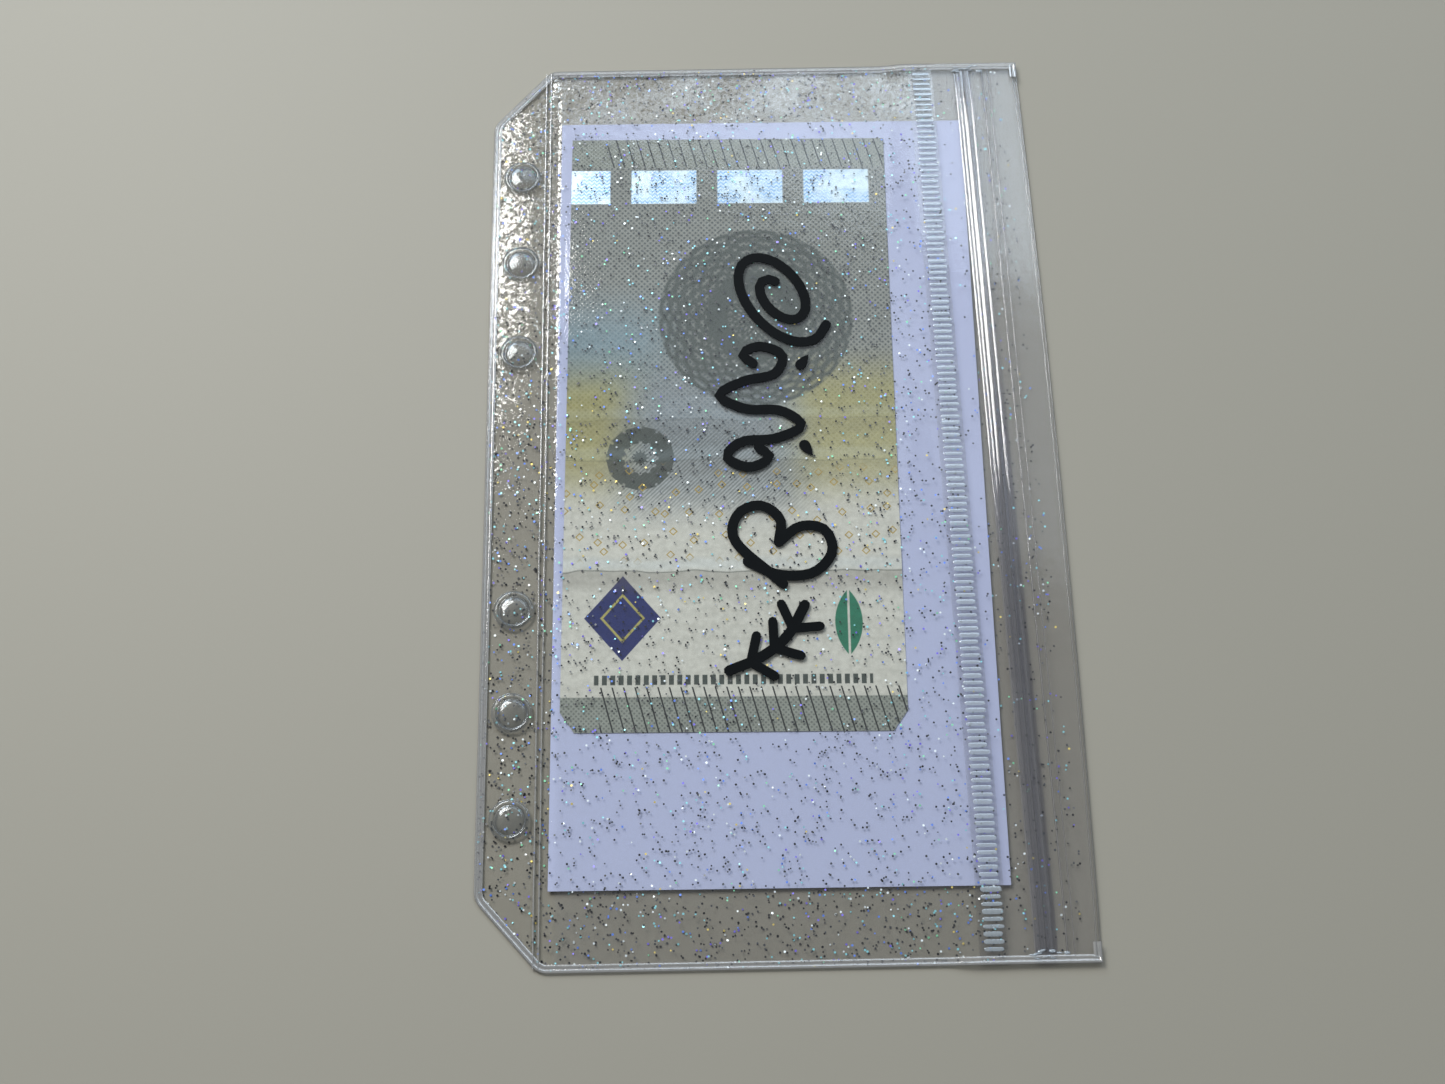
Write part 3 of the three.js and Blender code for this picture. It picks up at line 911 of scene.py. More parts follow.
@dataclass(frozen=True)
class PrintFinish:
    """A generic printed slip: hatched bands, a foil strip, rosettes and small ornaments.

    All places are in millimetres on the sheet: x from its left edge, y down from its top edge.
    """

    name: str
    paper: Colour = srgb(208, 209, 200)
    field_grey: Colour = srgb(74, 84, 84)
    slate: Colour = srgb(66, 76, 72)
    olive: Colour = srgb(176, 170, 98)
    sky: Colour = srgb(128, 158, 172)
    mist: Colour = srgb(150, 164, 176)
    # Colour of the painted shadow below each fold.
    shade: Colour = srgb(112, 106, 98)
    foil_blue: Colour = srgb(128, 174, 222)
    # foil_white is also the colour of the painted highlight above each fold.
    foil_white: Colour = srgb(208, 226, 236)
    navy: Colour = srgb(22, 38, 104)
    green: Colour = srgb(28, 120, 92)
    ochre: Colour = srgb(176, 150, 66)
    weave_pale: Colour = srgb(150, 156, 148)
    weave_dark: Colour = srgb(96, 104, 100)
    ink: Colour = srgb(38, 44, 44)
    grain: float = 900.0
    grain_relief: float = 0.5
    roughness: float = 0.8
    foil_rougher: float = -0.5
    foil_metallic: float = 0.5
    streak_stretch: Point = (0.1, 1, 1)
    streak_scale: float = 0.45
    streak_share: float = 0.6
    # Horizontal streaks of painted wrinkle shade and light, mixed with the fibre's own mottle.
    grain_and_wrinkle_tone: Span = (0.4, 1.2)
    grain_and_wrinkle_dark: Colour = (0.82, 0.82, 0.81)
    grain_and_wrinkle_light: Colour = (1.08, 1.08, 1.08)
    field_fade: Span = (58, 80)
    field_period: float = 1.1
    field_tone: Span = (0.45, 0.62)
    axis: float = 27
    olive_down: Stretch = (50, 74, 6)
    olive_aside: Span = (9, 19)
    olive_share: float = 0.65
    mist_down: Stretch = (52, 78, 6)
    mist_aside: Span = (-22, -12)
    mist_share: float = 0.5
    sky_down: Stretch = (38, 50, 8)
    sky_across: Span = (10, 26)
    sky_share: float = 0.7
    screen_down: Stretch = (62, 78, 4)
    screen_across: Stretch = (10, 44, 6)
    screen_period: float = 0.8
    screen_share: float = 0.6
    petal_reach: float = 0.9
    petal_period: float = 1.8
    large_middle: Span = (36, 39)
    large_petals: int = 12
    large_edge: Span = (18.4, 18.9)
    large_core: Stretch = (5.5, 9.5, 0.2)
    large_tone: Span = (-0.6, 0.92)
    core_share: float = 0.92
    small_middle: Span = (14, 68)
    small_petals: int = 6
    small_ring: Stretch = (3.4, 6.4, 0.2)
    small_core: Stretch = (-1, 1.6, 0.2)
    small_wave: float = 0.6
    small_share: float = 0.9
    lozenge_scale: float = 0.22
    lozenge_chance: float = 0.75
    lozenge_line: Stretch = (0.12, 0.18, 0.02)
    lozenge_down: Stretch = (70, 88, 1.5)
    navy_middle: Span = (11, 99)
    navy_half: Span = (7, 8)
    navy_edge: Span = (0.98, 1.01)
    navy_line: Stretch = (0.5, 0.58, 0.02)
    leaf_arcs: Span = (45.5, 58.5)
    leaf_down: float = 100
    leaf_edge: Span = (8.9, 9.1)
    leaf_vein: Stretch = (51.8, 52.2, 0.1)
    dash_down: Stretch = (109.6, 111.4, 0.1)
    dash_across: Stretch = (6, 56, 0.1)
    dash_period: float = 1.5
    dash_tone: Span = (0.3, 0.4)
    # Fold lines, each a place and a strength, painted as shade in and below the fold and as a
    # highlight above it.
    folds: tuple[Span, ...] = ((91.3, 0.7), (69.6, 0.3), (61.5, 0.25))
    fold_half: float = 0.1
    fold_soft: float = 0.15
    fold_sway: float = 2.2
    fold_sway_scale: float = 0.09
    fold_shadow: Span = (0.8, 6)
    fold_highlight: Stretch = (2.4, 0.4, 0.7)
    shadow_share: float = 0.45
    highlight_share: float = 0.3
    upper_band: Stretch = (-1, 6.3, 0.1)
    lower_band: Stretch = (113.6, 121, 0.1)
    lower_ticks: Stretch = (111.8, 121, 0.1)
    band_period: float = 0.9
    tick_lean: float = -0.28
    tick_period: float = 2.05
    tick_tone: Span = (0.93, 0.97)
    ticks_across: Span = (7, 7.2)
    foil_down: Stretch = (7.0, 14.4, 0.08)
    block_period: float = 17.0
    block_phase: float = 1.1
    block_tone: Span = (0.12, 0.16)
    zigzag: float = 0.5
    shimmer_period: float = 0.8
    gleam_scale: float = 0.16
    gleam_tone: Span = (0.4, 0.62)

    def hatch(self, bench: Bench, x: Socket, y: Socket, period: float) -> Socket:
        """Two crossed sets of fine lines as one tone.

        Args:
            bench: The bench to build on.
            x: The place across the sheet.
            y: The place down the sheet.
            period: How far apart the lines are.

        Returns:
            The tone.
        """
        rising = bench.wave(bench.math("ADD", x, y), period)
        falling = bench.wave(bench.math("SUBTRACT", x, y), period)
        return bench.both(rising, falling)

    def ticks(self, bench: Bench, x: Socket, y: Socket) -> Socket:
        """A row of slanted tick lines."""
        leaning = bench.math("MULTIPLY_ADD", y, self.tick_lean, x)
        return bench.rise(bench.wave(leaning, self.tick_period), *self.tick_tone)

    def rosette(
        self, bench: Bench, x: Socket, y: Socket, centre: Span, petals: int
    ) -> tuple[Socket, Socket]:
        """Distance from a centre and the line work of a rosette about it.

        Args:
            bench: The bench to build on.
            x: Place across the sheet.
            y: Place down the sheet.
            centre: The rosette's centre.
            petals: How many petals it has.

        Returns:
            The distance and the tone of the lines.
        """
        across = bench.math("SUBTRACT", x, centre[0])
        down = bench.math("SUBTRACT", y, centre[1])
        square = bench.math("MULTIPLY", across, across)
        distance = bench.math("SQRT", bench.math("MULTIPLY_ADD", down, down, square))
        angle = bench.math("ARCTAN2", down, across)
        petal = bench.math("SINE", bench.math("MULTIPLY", angle, float(petals)))
        outward = bench.math("MULTIPLY_ADD", petal, self.petal_reach, distance)
        inward = bench.math("MULTIPLY_ADD", petal, -self.petal_reach, distance)
        period = self.petal_period
        return distance, bench.both(bench.wave(outward, period), bench.wave(inward, period))

    def make(self, fibre: bpy.types.NodeTree) -> bpy.types.Material:
        """Builds the print on the shared paper fibre.

        Args:
            fibre: The node group of the paper fibre.

        Returns:
            The print as a material.
        """
        material = bpy.data.materials.new(self.name)
        material.use_nodes = True
        bench = Bench(material.node_tree)
        sheet = bench.node("ShaderNodeAttribute", attribute_name=SHEET_PLACE).outputs["Vector"]
        x, y, _ = bench.split(sheet)
        skin = bench.group(fibre, Scale=self.grain, Relief=self.grain_relief)
        colour = self.ground(bench, x, y)
        colour = self.medallions(bench, x, y, colour)
        colour = self.ornaments(bench, sheet, x, y, colour)
        colour, foil = self.bands(bench, sheet, x, y, colour)
        # Painted shade and highlight along the note's folds.
        colour = self.creases(bench, sheet, y, colour)
        # Painted shade and light in horizontal streaks, standing for the shading of small wrinkles,
        # mixed with the fibre's own mottle and multiplied into the print.
        streaked = bench.node("ShaderNodeVectorMath", operation="MULTIPLY")
        bench.feed(streaked.inputs[0], sheet)
        streaked.inputs[1].default_value = self.streak_stretch
        streak = bench.noise(streaked.outputs[0], self.streak_scale, 3)
        streak = bench.math("MULTIPLY", streak, self.streak_share)
        grain_and_wrinkle_shading = bench.rise(bench.math("ADD", streak, skin.outputs["Tone"]), *self.grain_and_wrinkle_tone)
        grain_and_wrinkle_colour = bench.mix(grain_and_wrinkle_shading, self.grain_and_wrinkle_dark, self.grain_and_wrinkle_light)
        shaded_grained_print = bench.node("ShaderNodeMix", data_type="RGBA", blend_type="MULTIPLY")
        shaded_grained_print.inputs[0].default_value = 1
        bench.feed(shaded_grained_print.inputs[6], colour)
        bench.feed(shaded_grained_print.inputs[7], grain_and_wrinkle_colour)
        shader = bench.node("ShaderNodeBsdfPrincipled")
        bench.feed(shader.inputs["Base Color"], shaded_grained_print.outputs[2])
        rough = bench.math("MULTIPLY_ADD", foil, self.foil_rougher, self.roughness)
        bench.feed(shader.inputs["Roughness"], rough)
        bench.feed(shader.inputs["Metallic"], bench.math("MULTIPLY", foil, self.foil_metallic))
        bench.feed(shader.inputs["Normal"], skin.outputs["Normal"])
        bench.finish(shader.outputs[0])
        return material

    def ground(self, bench: Bench, x: Socket, y: Socket) -> Socket:
        """The paper, its grey field, and the soft tints that run across it.

        Args:
            bench: The bench to build on.
            x: The place across the sheet.
            y: The place down the sheet.

        Returns:
            The colour of the ground.
        """
        fade = bench.math("SUBTRACT", 1.0, bench.rise(y, *self.field_fade))
        lines = self.hatch(bench, x, y, self.field_period)
        lined = bench.math("MULTIPLY_ADD", lines, *self.field_tone)
        colour = bench.mix(bench.both(fade, lined), self.paper, self.field_grey)
        aside = bench.math("ABSOLUTE", bench.math("SUBTRACT", x, self.axis))
        olive = bench.both(bench.band(y, *self.olive_down), bench.rise(aside, *self.olive_aside))
        colour = bench.mix(bench.math("MULTIPLY", olive, self.olive_share), colour, self.olive)
        near = bench.rise(bench.math("MULTIPLY", aside, -1.0), *self.mist_aside)
        middle = bench.both(bench.band(y, *self.mist_down), near)
        colour = bench.mix(bench.math("MULTIPLY", middle, self.mist_share), colour, self.mist)
        left = bench.math("SUBTRACT", 1.0, bench.rise(x, *self.sky_across))
        sky = bench.both(bench.band(y, *self.sky_down), left)
        colour = bench.mix(bench.math("MULTIPLY", sky, self.sky_share), colour, self.sky)
        grey = bench.both(bench.band(y, *self.screen_down), bench.band(x, *self.screen_across))
        lines = bench.wave(bench.math("ADD", x, y), self.screen_period)
        tone = bench.math("MULTIPLY", lines, grey)
        return bench.mix(bench.math("MULTIPLY", tone, self.screen_share), colour, self.field_grey)

    def medallions(self, bench: Bench, x: Socket, y: Socket, colour: Socket) -> Socket:
        """Two slate rosettes, one large and one small.

        Args:
            bench: The bench to build on.
            x: The place across the sheet.
            y: The place down the sheet.
            colour: The colour so far.

        Returns:
            The colour with the rosettes.
        """
        distance, lines = self.rosette(bench, x, y, self.large_middle, self.large_petals)
        inside = bench.math("SUBTRACT", 1.0, bench.rise(distance, *self.large_edge))
        core = bench.math("MULTIPLY", bench.band(distance, *self.large_core), self.core_share)
        tone = bench.math("MULTIPLY_ADD", lines, *self.large_tone)
        dark = bench.math("MAXIMUM", bench.both(inside, tone), core)
        colour = bench.mix(dark, colour, self.slate)
        distance, lines = self.rosette(bench, x, y, self.small_middle, self.small_petals)
        waved = bench.math("MULTIPLY_ADD", lines, self.small_wave, distance)
        core = bench.band(waved, *self.small_core)
        ring = bench.math("MAXIMUM", bench.band(waved, *self.small_ring), core)
        return bench.mix(bench.math("MULTIPLY", ring, self.small_share), colour, self.slate)

    def ornaments(
        self, bench: Bench, sheet: Socket, x: Socket, y: Socket, colour: Socket
    ) -> Socket:
        """Small lozenges, a navy lozenge, a green leaf and a row of dashes.

        Args:
            bench: The bench to build on.
            sheet: The place on the sheet as a vector.
            x: The place across the sheet.
            y: The place down the sheet.
            colour: The colour so far.

        Returns:
            The colour with the ornaments.
        """
        cells = bench.node(
            "ShaderNodeTexVoronoi", distance="MANHATTAN", voronoi_dimensions="2D"
        )
        bench.feed(cells.inputs["Vector"], sheet)
        cells.inputs["Scale"].default_value = self.lozenge_scale
        cells.inputs["Randomness"].default_value = self.lozenge_chance
        lozenge = bench.band(cells.outputs["Distance"], *self.lozenge_line)
        dotted = bench.both(lozenge, bench.band(y, *self.lozenge_down))
        colour = bench.mix(dotted, colour, self.ochre)
        reach = [
            bench.math("DIVIDE", bench.math("ABSOLUTE", bench.math("SUBTRACT", place, middle)), half)
            for place, middle, half in zip((x, y), self.navy_middle, self.navy_half)
        ]
        reach = bench.math("ADD", *reach)
        patch = bench.math("SUBTRACT", 1.0, bench.rise(reach, *self.navy_edge))
        colour = bench.mix(patch, colour, self.navy)
        line = bench.both(bench.band(reach, *self.navy_line), patch)
        colour = bench.mix(line, colour, self.olive)
        leaf = 1.0
        for middle in self.leaf_arcs:
            distance, _ = self.rosette(bench, x, y, (middle, self.leaf_down), 1)
            arc = bench.math("SUBTRACT", 1.0, bench.rise(distance, *self.leaf_edge))
            leaf = bench.both(arc, leaf)
        vein = bench.math("SUBTRACT", 1.0, bench.band(x, *self.leaf_vein))
        colour = bench.mix(bench.both(leaf, vein), colour, self.green)
        row = bench.both(bench.band(y, *self.dash_down), bench.band(x, *self.dash_across))
        dashes = bench.both(row, bench.rise(bench.wave(x, self.dash_period), *self.dash_tone))
        return bench.mix(dashes, colour, self.slate)

    def creases(self, bench: Bench, sheet: Socket, y: Socket, colour: Socket) -> Socket:
        """Painted shade and light along the fold lines: a dark painted line in each fold, a band of
        painted shadow below it and a band of painted highlight above it.

        Args:
            bench: The bench to build on.
            sheet: The place on the sheet as a vector.
            y: The place down the sheet.
            colour: The colour so far.

        Returns:
            The colour with the fold lines.
        """
        sway = bench.noise(sheet, self.fold_sway_scale, 2)
        bent = bench.math("MULTIPLY_ADD", sway, self.fold_sway, y)
        for line, strength in self.folds:
            low, high = line - self.fold_half, line + self.fold_half
            fold_line_shade = bench.math("MULTIPLY", bench.band(bent, low, high, self.fold_soft), strength)
            fold = bench.rise(bent, low, high)
            start, end = self.fold_shadow
            fading = bench.math("SUBTRACT", fold, bench.rise(bent, line + start, line + end))
            shade = bench.math("MULTIPLY", fading, strength * self.shadow_share)
            start, end, soft = self.fold_highlight
            pale = bench.band(bent, line - start, line - end, soft)
            pale = bench.math("MULTIPLY", pale, strength * self.highlight_share)
            # Painted highlight above the fold, painted shadow below it and a painted dark line in it.
            colour = bench.mix(pale, colour, self.foil_white)
            colour = bench.mix(shade, colour, self.shade)
            colour = bench.mix(fold_line_shade, colour, self.slate)
        return colour

    def bands(
        self, bench: Bench, sheet: Socket, x: Socket, y: Socket, colour: Socket
    ) -> tuple[Socket, Socket]:
        """The hatched bands at both ends and the foil strip below the upper one.

        Args:
            bench: The bench to build on.
            sheet: The place on the sheet as a vector.
            x: The place across the sheet.
            y: The place down the sheet.
            colour: The colour so far.

        Returns:
            The colour with the bands, and the mask of the foil.
        """
        upper = bench.band(y, *self.upper_band)
        ends = bench.math("MAXIMUM", upper, bench.band(y, *self.lower_band))
        weave = self.hatch(bench, x, y, self.band_period)
        tone = bench.mix(weave, self.weave_pale, self.weave_dark)
        colour = bench.mix(ends, colour, tone)
        reach = bench.math("MAXIMUM", upper, bench.band(y, *self.lower_ticks))
        across = bench.rise(x, *self.ticks_across)
        marks = bench.both(reach, self.ticks(bench, x, y), across)
        colour = bench.mix(marks, colour, self.ink)
        blocks = bench.rise(bench.wave(x, self.block_period, self.block_phase), *self.block_tone)
        foil = bench.both(bench.band(y, *self.foil_down), blocks)
        zigzag = bench.math("PINGPONG", x, self.zigzag)
        shimmer = bench.wave(bench.math("ADD", zigzag, y), self.shimmer_period)
        gleam = bench.rise(bench.noise(sheet, self.gleam_scale, 2), *self.gleam_tone)
        bright = bench.mix(bench.math("MAXIMUM", gleam, shimmer), self.foil_blue, self.foil_white)
        return bench.mix(foil, colour, bright), foil


# The pocket's pieces


@dataclass
class FilmSheets:
    """The two glitter films: a flat back one, and a front one that rises over what is inside."""

    layout: PocketLayout
    columns: int = 120
    rows: int = 200
    back_columns: int = 60
    back_rows: int = 100
    swell: float = 0.05 * MM
    margin_swell: float = 0.05 * MM
    margin_tilt: float = 0.034
    back_wave: float = 0.02 * MM
    calm_left: float = -20 * MM
    calm_right: float = 20 * MM
    calm_blend: float = 6 * MM
    weld_blend: float = 5 * MM
    margin_blend: float = 2 * MM
    rim_climb: float = 0.5 * MM
    back_inset: float = 0.02 * MM
    end_bunching: float = 0.35
    left_bunching: float = 1.25
    wave_rates: tuple[float, ...] = (210, 37, 95, 61, 150)

    def ripple(self, x: np.ndarray, y: np.ndarray) -> np.ndarray:
        """Soft waves of the front film, calm under the ornaments.

        Args:
            x: Places across the pocket.
            y: Places along the pocket.

        Returns:
            How far the waves lift the film at each place.
        """
        layout = self.layout
        waves = self.waves(x, y)
        margin = 1 - eased((x - layout.weld_left + self.margin_blend) / self.margin_blend)
        right_of = eased((x - self.calm_right) / self.calm_blend)
        calm = right_of + 1 - eased((x - self.calm_left) / self.calm_blend)
        open_share = layout.opening(y) * (x < layout.tape_left(y) - layout.climb_run / 2)
        past_weld = eased((x - layout.weld_right) / self.weld_blend)
        pocket = self.swell * calm * open_share * past_weld
        rim = np.minimum(x - layout.left, layout.top - np.abs(y)) - layout.rim
        edge = eased(rim / self.margin_blend)
        climb = eased(rim / self.rim_climb)
        lift = (x - layout.left - layout.rim) * self.margin_tilt * climb
        outer = waves * self.margin_swell * margin * edge + lift * margin
        return np.where(x < layout.weld_left, outer, waves * pocket)

    def waves(self, x: np.ndarray, y: np.ndarray) -> np.ndarray:
        """The waves of a soft sheet, from 0 to 1.

        Args:
            x: Places across the pocket.
            y: Places along the pocket.

        Returns:
            The height of the waves at each place.
        """
        across, sway, along, lean, slant = self.wave_rates
        bent = np.sin(x * across + 3 * np.sin(y * sway))
        bent = bent + np.sin(y * along + 2 * np.sin(x * lean + 1))
        return (bent + np.sin((x + y) * slant + 2)) / 6 + 0.5

    def sheet(self, columns: int, rows: int, inset: float) -> bpy.types.Object:
        """Lays out a flat grid in the pocket's outline, closer together near the welds.

        Args:
            columns: How many columns of faces it has.
            rows: How many rows of faces it has.
            inset: How far it stays inside the outline.

        Returns:
            The flat sheet with its two corners cut.
        """
        layout = self.layout
        start_clean()
        bpy.ops.mesh.primitive_grid_add(x_subdivisions=columns, y_subdivisions=rows, size=2)
        sheet = bpy.context.object
        grid = points_of(sheet)
        across = (grid[:, 0] + 1) / 2
        bunched = np.sin(grid[:, 1] * math.pi / 2) * self.end_bunching
        along = bunched + grid[:, 1] * (1 - self.end_bunching)
        y = along * (layout.top - inset)
        inner = layout.left + inset
        x = inner + across**self.left_bunching * (layout.film_right(y) - inner)
        move_points(sheet, np.column_stack([x, y, np.zeros_like(x)]))
        self.cut_corners(sheet, inset)
        return sheet

    def front(self) -> bpy.types.Object:
        """Models the front film inside the welded rim, as a thin closed sheet.

        Returns:
            The front film.
        """
        layout = self.layout
        sheet = self.sheet(self.columns, self.rows, layout.rim_ridges)
        points = points_of(sheet)
        x, y = points[:, 0], points[:, 1]
        points[:, 2] = layout.film_under(x, y) + self.ripple(x, y)
        move_points(sheet, points)
        apply_modifier(sheet, "SOLIDIFY", thickness=layout.film, offset=1)
        return settle(sheet, "front_sheet")

    def back(self) -> bpy.types.Object:
        """Models the back film, whose underside waves a little on the table.

        Returns:
            The back film.
        """
        sheet = self.sheet(self.back_columns, self.back_rows, self.back_inset)
        points = points_of(sheet)
        points[:, 2] = self.waves(points[:, 0], points[:, 1]) * self.back_wave
        move_points(sheet, points)
        apply_modifier(sheet, "SOLIDIFY", thickness=self.layout.film - self.back_wave, offset=1)
        return settle(sheet, "back_sheet")

    def cut_corners(self, piece: bpy.types.Object, inset: float) -> None:
        """Cuts the pocket's two slanted corners off a flat piece.

        Args:
            piece: The flat piece.
            inset: How far it stays inside the outline.
        """
        layout = self.layout
        select_only(piece)
        bpy.ops.object.mode_set(mode="EDIT")
        for side in (1, -1):
            start = Vector((layout.left, side * (layout.top - layout.corner_cut_height), 0))
            normal = Vector((-layout.corner_cut_height, side * layout.corner_cut_width, 0))
            normal.normalize()
            bpy.ops.mesh.select_all(action="SELECT")
            bpy.ops.mesh.bisect(
                plane_co=start - normal * inset, plane_no=normal, clear_outer=True
            )
        bpy.ops.object.mode_set(mode="OBJECT")


@dataclass
class WeldedRim:
    """The raised double line round the pocket, which is left out along the open lips."""

    layout: PocketLayout
    sheets: FilmSheets
    corner_radius: float = 1.4 * MM
    corner_segments: int = 4
    long_edge: float = 20 * MM
    long_edge_cuts: int = 120
    lip_blend: float = 0.5 * MM
    lip_rise: float = 0.17 * MM
    lip_body: float = 0.03 * MM
    depth: float = 5 * MM
    lips_from: float = 6 * MM
    lips_end: float = 3 * MM
    steps: tuple[tuple[float, float], ...] = (
        (0.12 * MM, 0.16 * MM),
        (0.16 * MM, 0.04 * MM),
        (0.16 * MM, -0.15 * MM),
        (0.40 * MM, -0.03 * MM),
        (0.16 * MM, 0.13 * MM),
        (0.16 * MM, 0.02 * MM),
        (0.18 * MM, -0.14 * MM),
        (0.16 * MM, -0.03 * MM),
    )

    def outline(self) -> bpy.types.Object:
        """One flat face with the pocket's outline, its cut corners rounded off.

        Returns:
            The flat face.
        """
        layout = self.layout
        start_clean()
        bpy.ops.mesh.primitive_plane_add(size=2)
        piece = bpy.context.object
        corners = points_of(piece)
        y = np.sign(corners[:, 1]) * layout.top
        inset = np.where(y > 0, layout.lip_inset_top, layout.lip_inset_bottom)
        lip = layout.right - inset
        x = np.where(corners[:, 0] < 0, layout.left, lip)
        move_points(piece, np.column_stack([x, y, np.zeros_like(x)]))
        self.sheets.cut_corners(piece, 0)
        select_only(piece)
        for vertex in piece.data.vertices:
            vertex.select = vertex.co.x < layout.left + layout.corner_cut_width * 1.01
        bpy.ops.object.mode_set(mode="EDIT")
        bpy.ops.mesh.select_mode(type="VERT")
        bpy.ops.mesh.bevel(
            offset=self.corner_radius, segments=self.corner_segments, affect="VERTICES"
        )
        bpy.ops.object.mode_set(mode="OBJECT")
        return piece

    def base(self, x: np.ndarray, y: np.ndarray) -> tuple[np.ndarray, np.ndarray]:
        """The heights between which the rim lies, without its ridges.

        Args:
            x: Places across the pocket.
            y: Places along the pocket.

        Returns:
            The height of its floor and of its top at each place.
        """
        layout = self.layout
        under = layout.film_under(x, y)
        on_lips = eased((x - layout.film_right(y)) / self.lip_blend)
        lips = layout.front_tape_top(y) + self.lip_rise
        floor = under * (1 - on_lips) + lips * on_lips
        return floor, floor + layout.film * (1 - on_lips) + self.lip_body * on_lips

    def build(self) -> bpy.types.Object:
        """Models the rim by insetting the outline again and again.

        Returns:
            The rim.
        """
        piece = self.outline()
        self.divide_long_edges(piece)
        bpy.ops.object.mode_set(mode="EDIT")
        bpy.ops.mesh.select_mode(type="FACE")
        bpy.ops.mesh.select_all(action="SELECT")
        for width, lift in self.steps:
            bpy.ops.mesh.inset(thickness=width, depth=lift, use_boundary=True)
        bpy.ops.mesh.delete(type="FACE")
        bpy.ops.object.mode_set(mode="OBJECT")
        self.open_lips(piece)
        points = points_of(piece)
        ridges = points[:, 2].copy()
        _, top = self.base(points[:, 0], points[:, 1])
        points[:, 2] = top + ridges
        move_points(piece, points)
        select_only(piece)
        bpy.ops.object.mode_set(mode="EDIT")
        bpy.ops.mesh.select_all(action="SELECT")
        bpy.ops.mesh.extrude_region_move(TRANSFORM_OT_translate={"value": (0, 0, -self.depth)})
        bpy.ops.object.mode_set(mode="OBJECT")
        points = points_of(piece)
        low = points[:, 2] < 0
        floor, _ = self.base(points[:, 0], points[:, 1])
        points[low, 2] = floor[low]
        move_points(piece, points)
        face_outwards(piece)
        return settle(piece, "welded_rim")

    def divide_long_edges(self, piece: bpy.types.Object) -> None:
        """Cuts the outline's two ends into short edges, so that they can follow the film.

        Args:
            piece: The flat outline.
        """
        for part in (*piece.data.vertices, *piece.data.polygons):
            part.select = False
        for edge in piece.data.edges:
            start, end = (piece.data.vertices[number] for number in edge.vertices)
            run = end.co - start.co
            edge.select = abs(run.y) < 1e-6 and abs(run.x) > self.long_edge
            if edge.select:
                start.select = end.select = True
        bpy.ops.object.mode_set(mode="EDIT")
        bpy.ops.mesh.select_mode(type="EDGE")
        bpy.ops.mesh.subdivide(number_cuts=self.long_edge_cuts)
        bpy.ops.object.mode_set(mode="OBJECT")

    def open_lips(self, piece: bpy.types.Object) -> None:
        """Deletes the stretch of the rim that runs along the open lips.

        Args:
            piece: The ring of ridges.
        """
        layout = self.layout
        for face in piece.data.polygons:
            middle = face.center
            beside = middle.x > layout.right - self.lips_from
            face.select = beside and abs(middle.y) < layout.top - self.lips_end
        bpy.ops.object.mode_set(mode="EDIT")
        bpy.ops.mesh.select_mode(type="FACE")
        bpy.ops.mesh.delete(type="FACE")
        bpy.ops.object.mode_set(mode="OBJECT")


@dataclass
class MarginWeld:
    """The two fine lines of the weld between the binder margin and the pocket."""

    layout: PocketLayout
    radius: float = 0.15 * MM
    pieces: int = 90
    wander: float = 0.03 * MM
    wander_rates: Span = (310, 97)
    phases: Span = (0.0, 1.3)
    end_share: float = 0.7
    lift: float = 0.02 * MM

    def build(self) -> bpy.types.Object:
        """Models both lines with the slight wander of a hot tool.

        Returns:
            Both lines as one piece.
        """
        layout = self.layout
        end = layout.top - layout.rim * self.end_share
        short, long = self.wander_rates
        height = layout.seat + layout.film + self.lift
        lines = []
        for x, phase in zip((layout.weld_left + self.radius, layout.weld_right), self.phases):
            path = [
                (x + self.wander * math.sin(y * short + phase) * math.sin(y * long + phase), y, height)
                for y in np.linspace(-end, end, self.pieces)
            ]
            lines.append(tube(path, self.radius))
        return settle(join(lines), "margin_weld_lines")


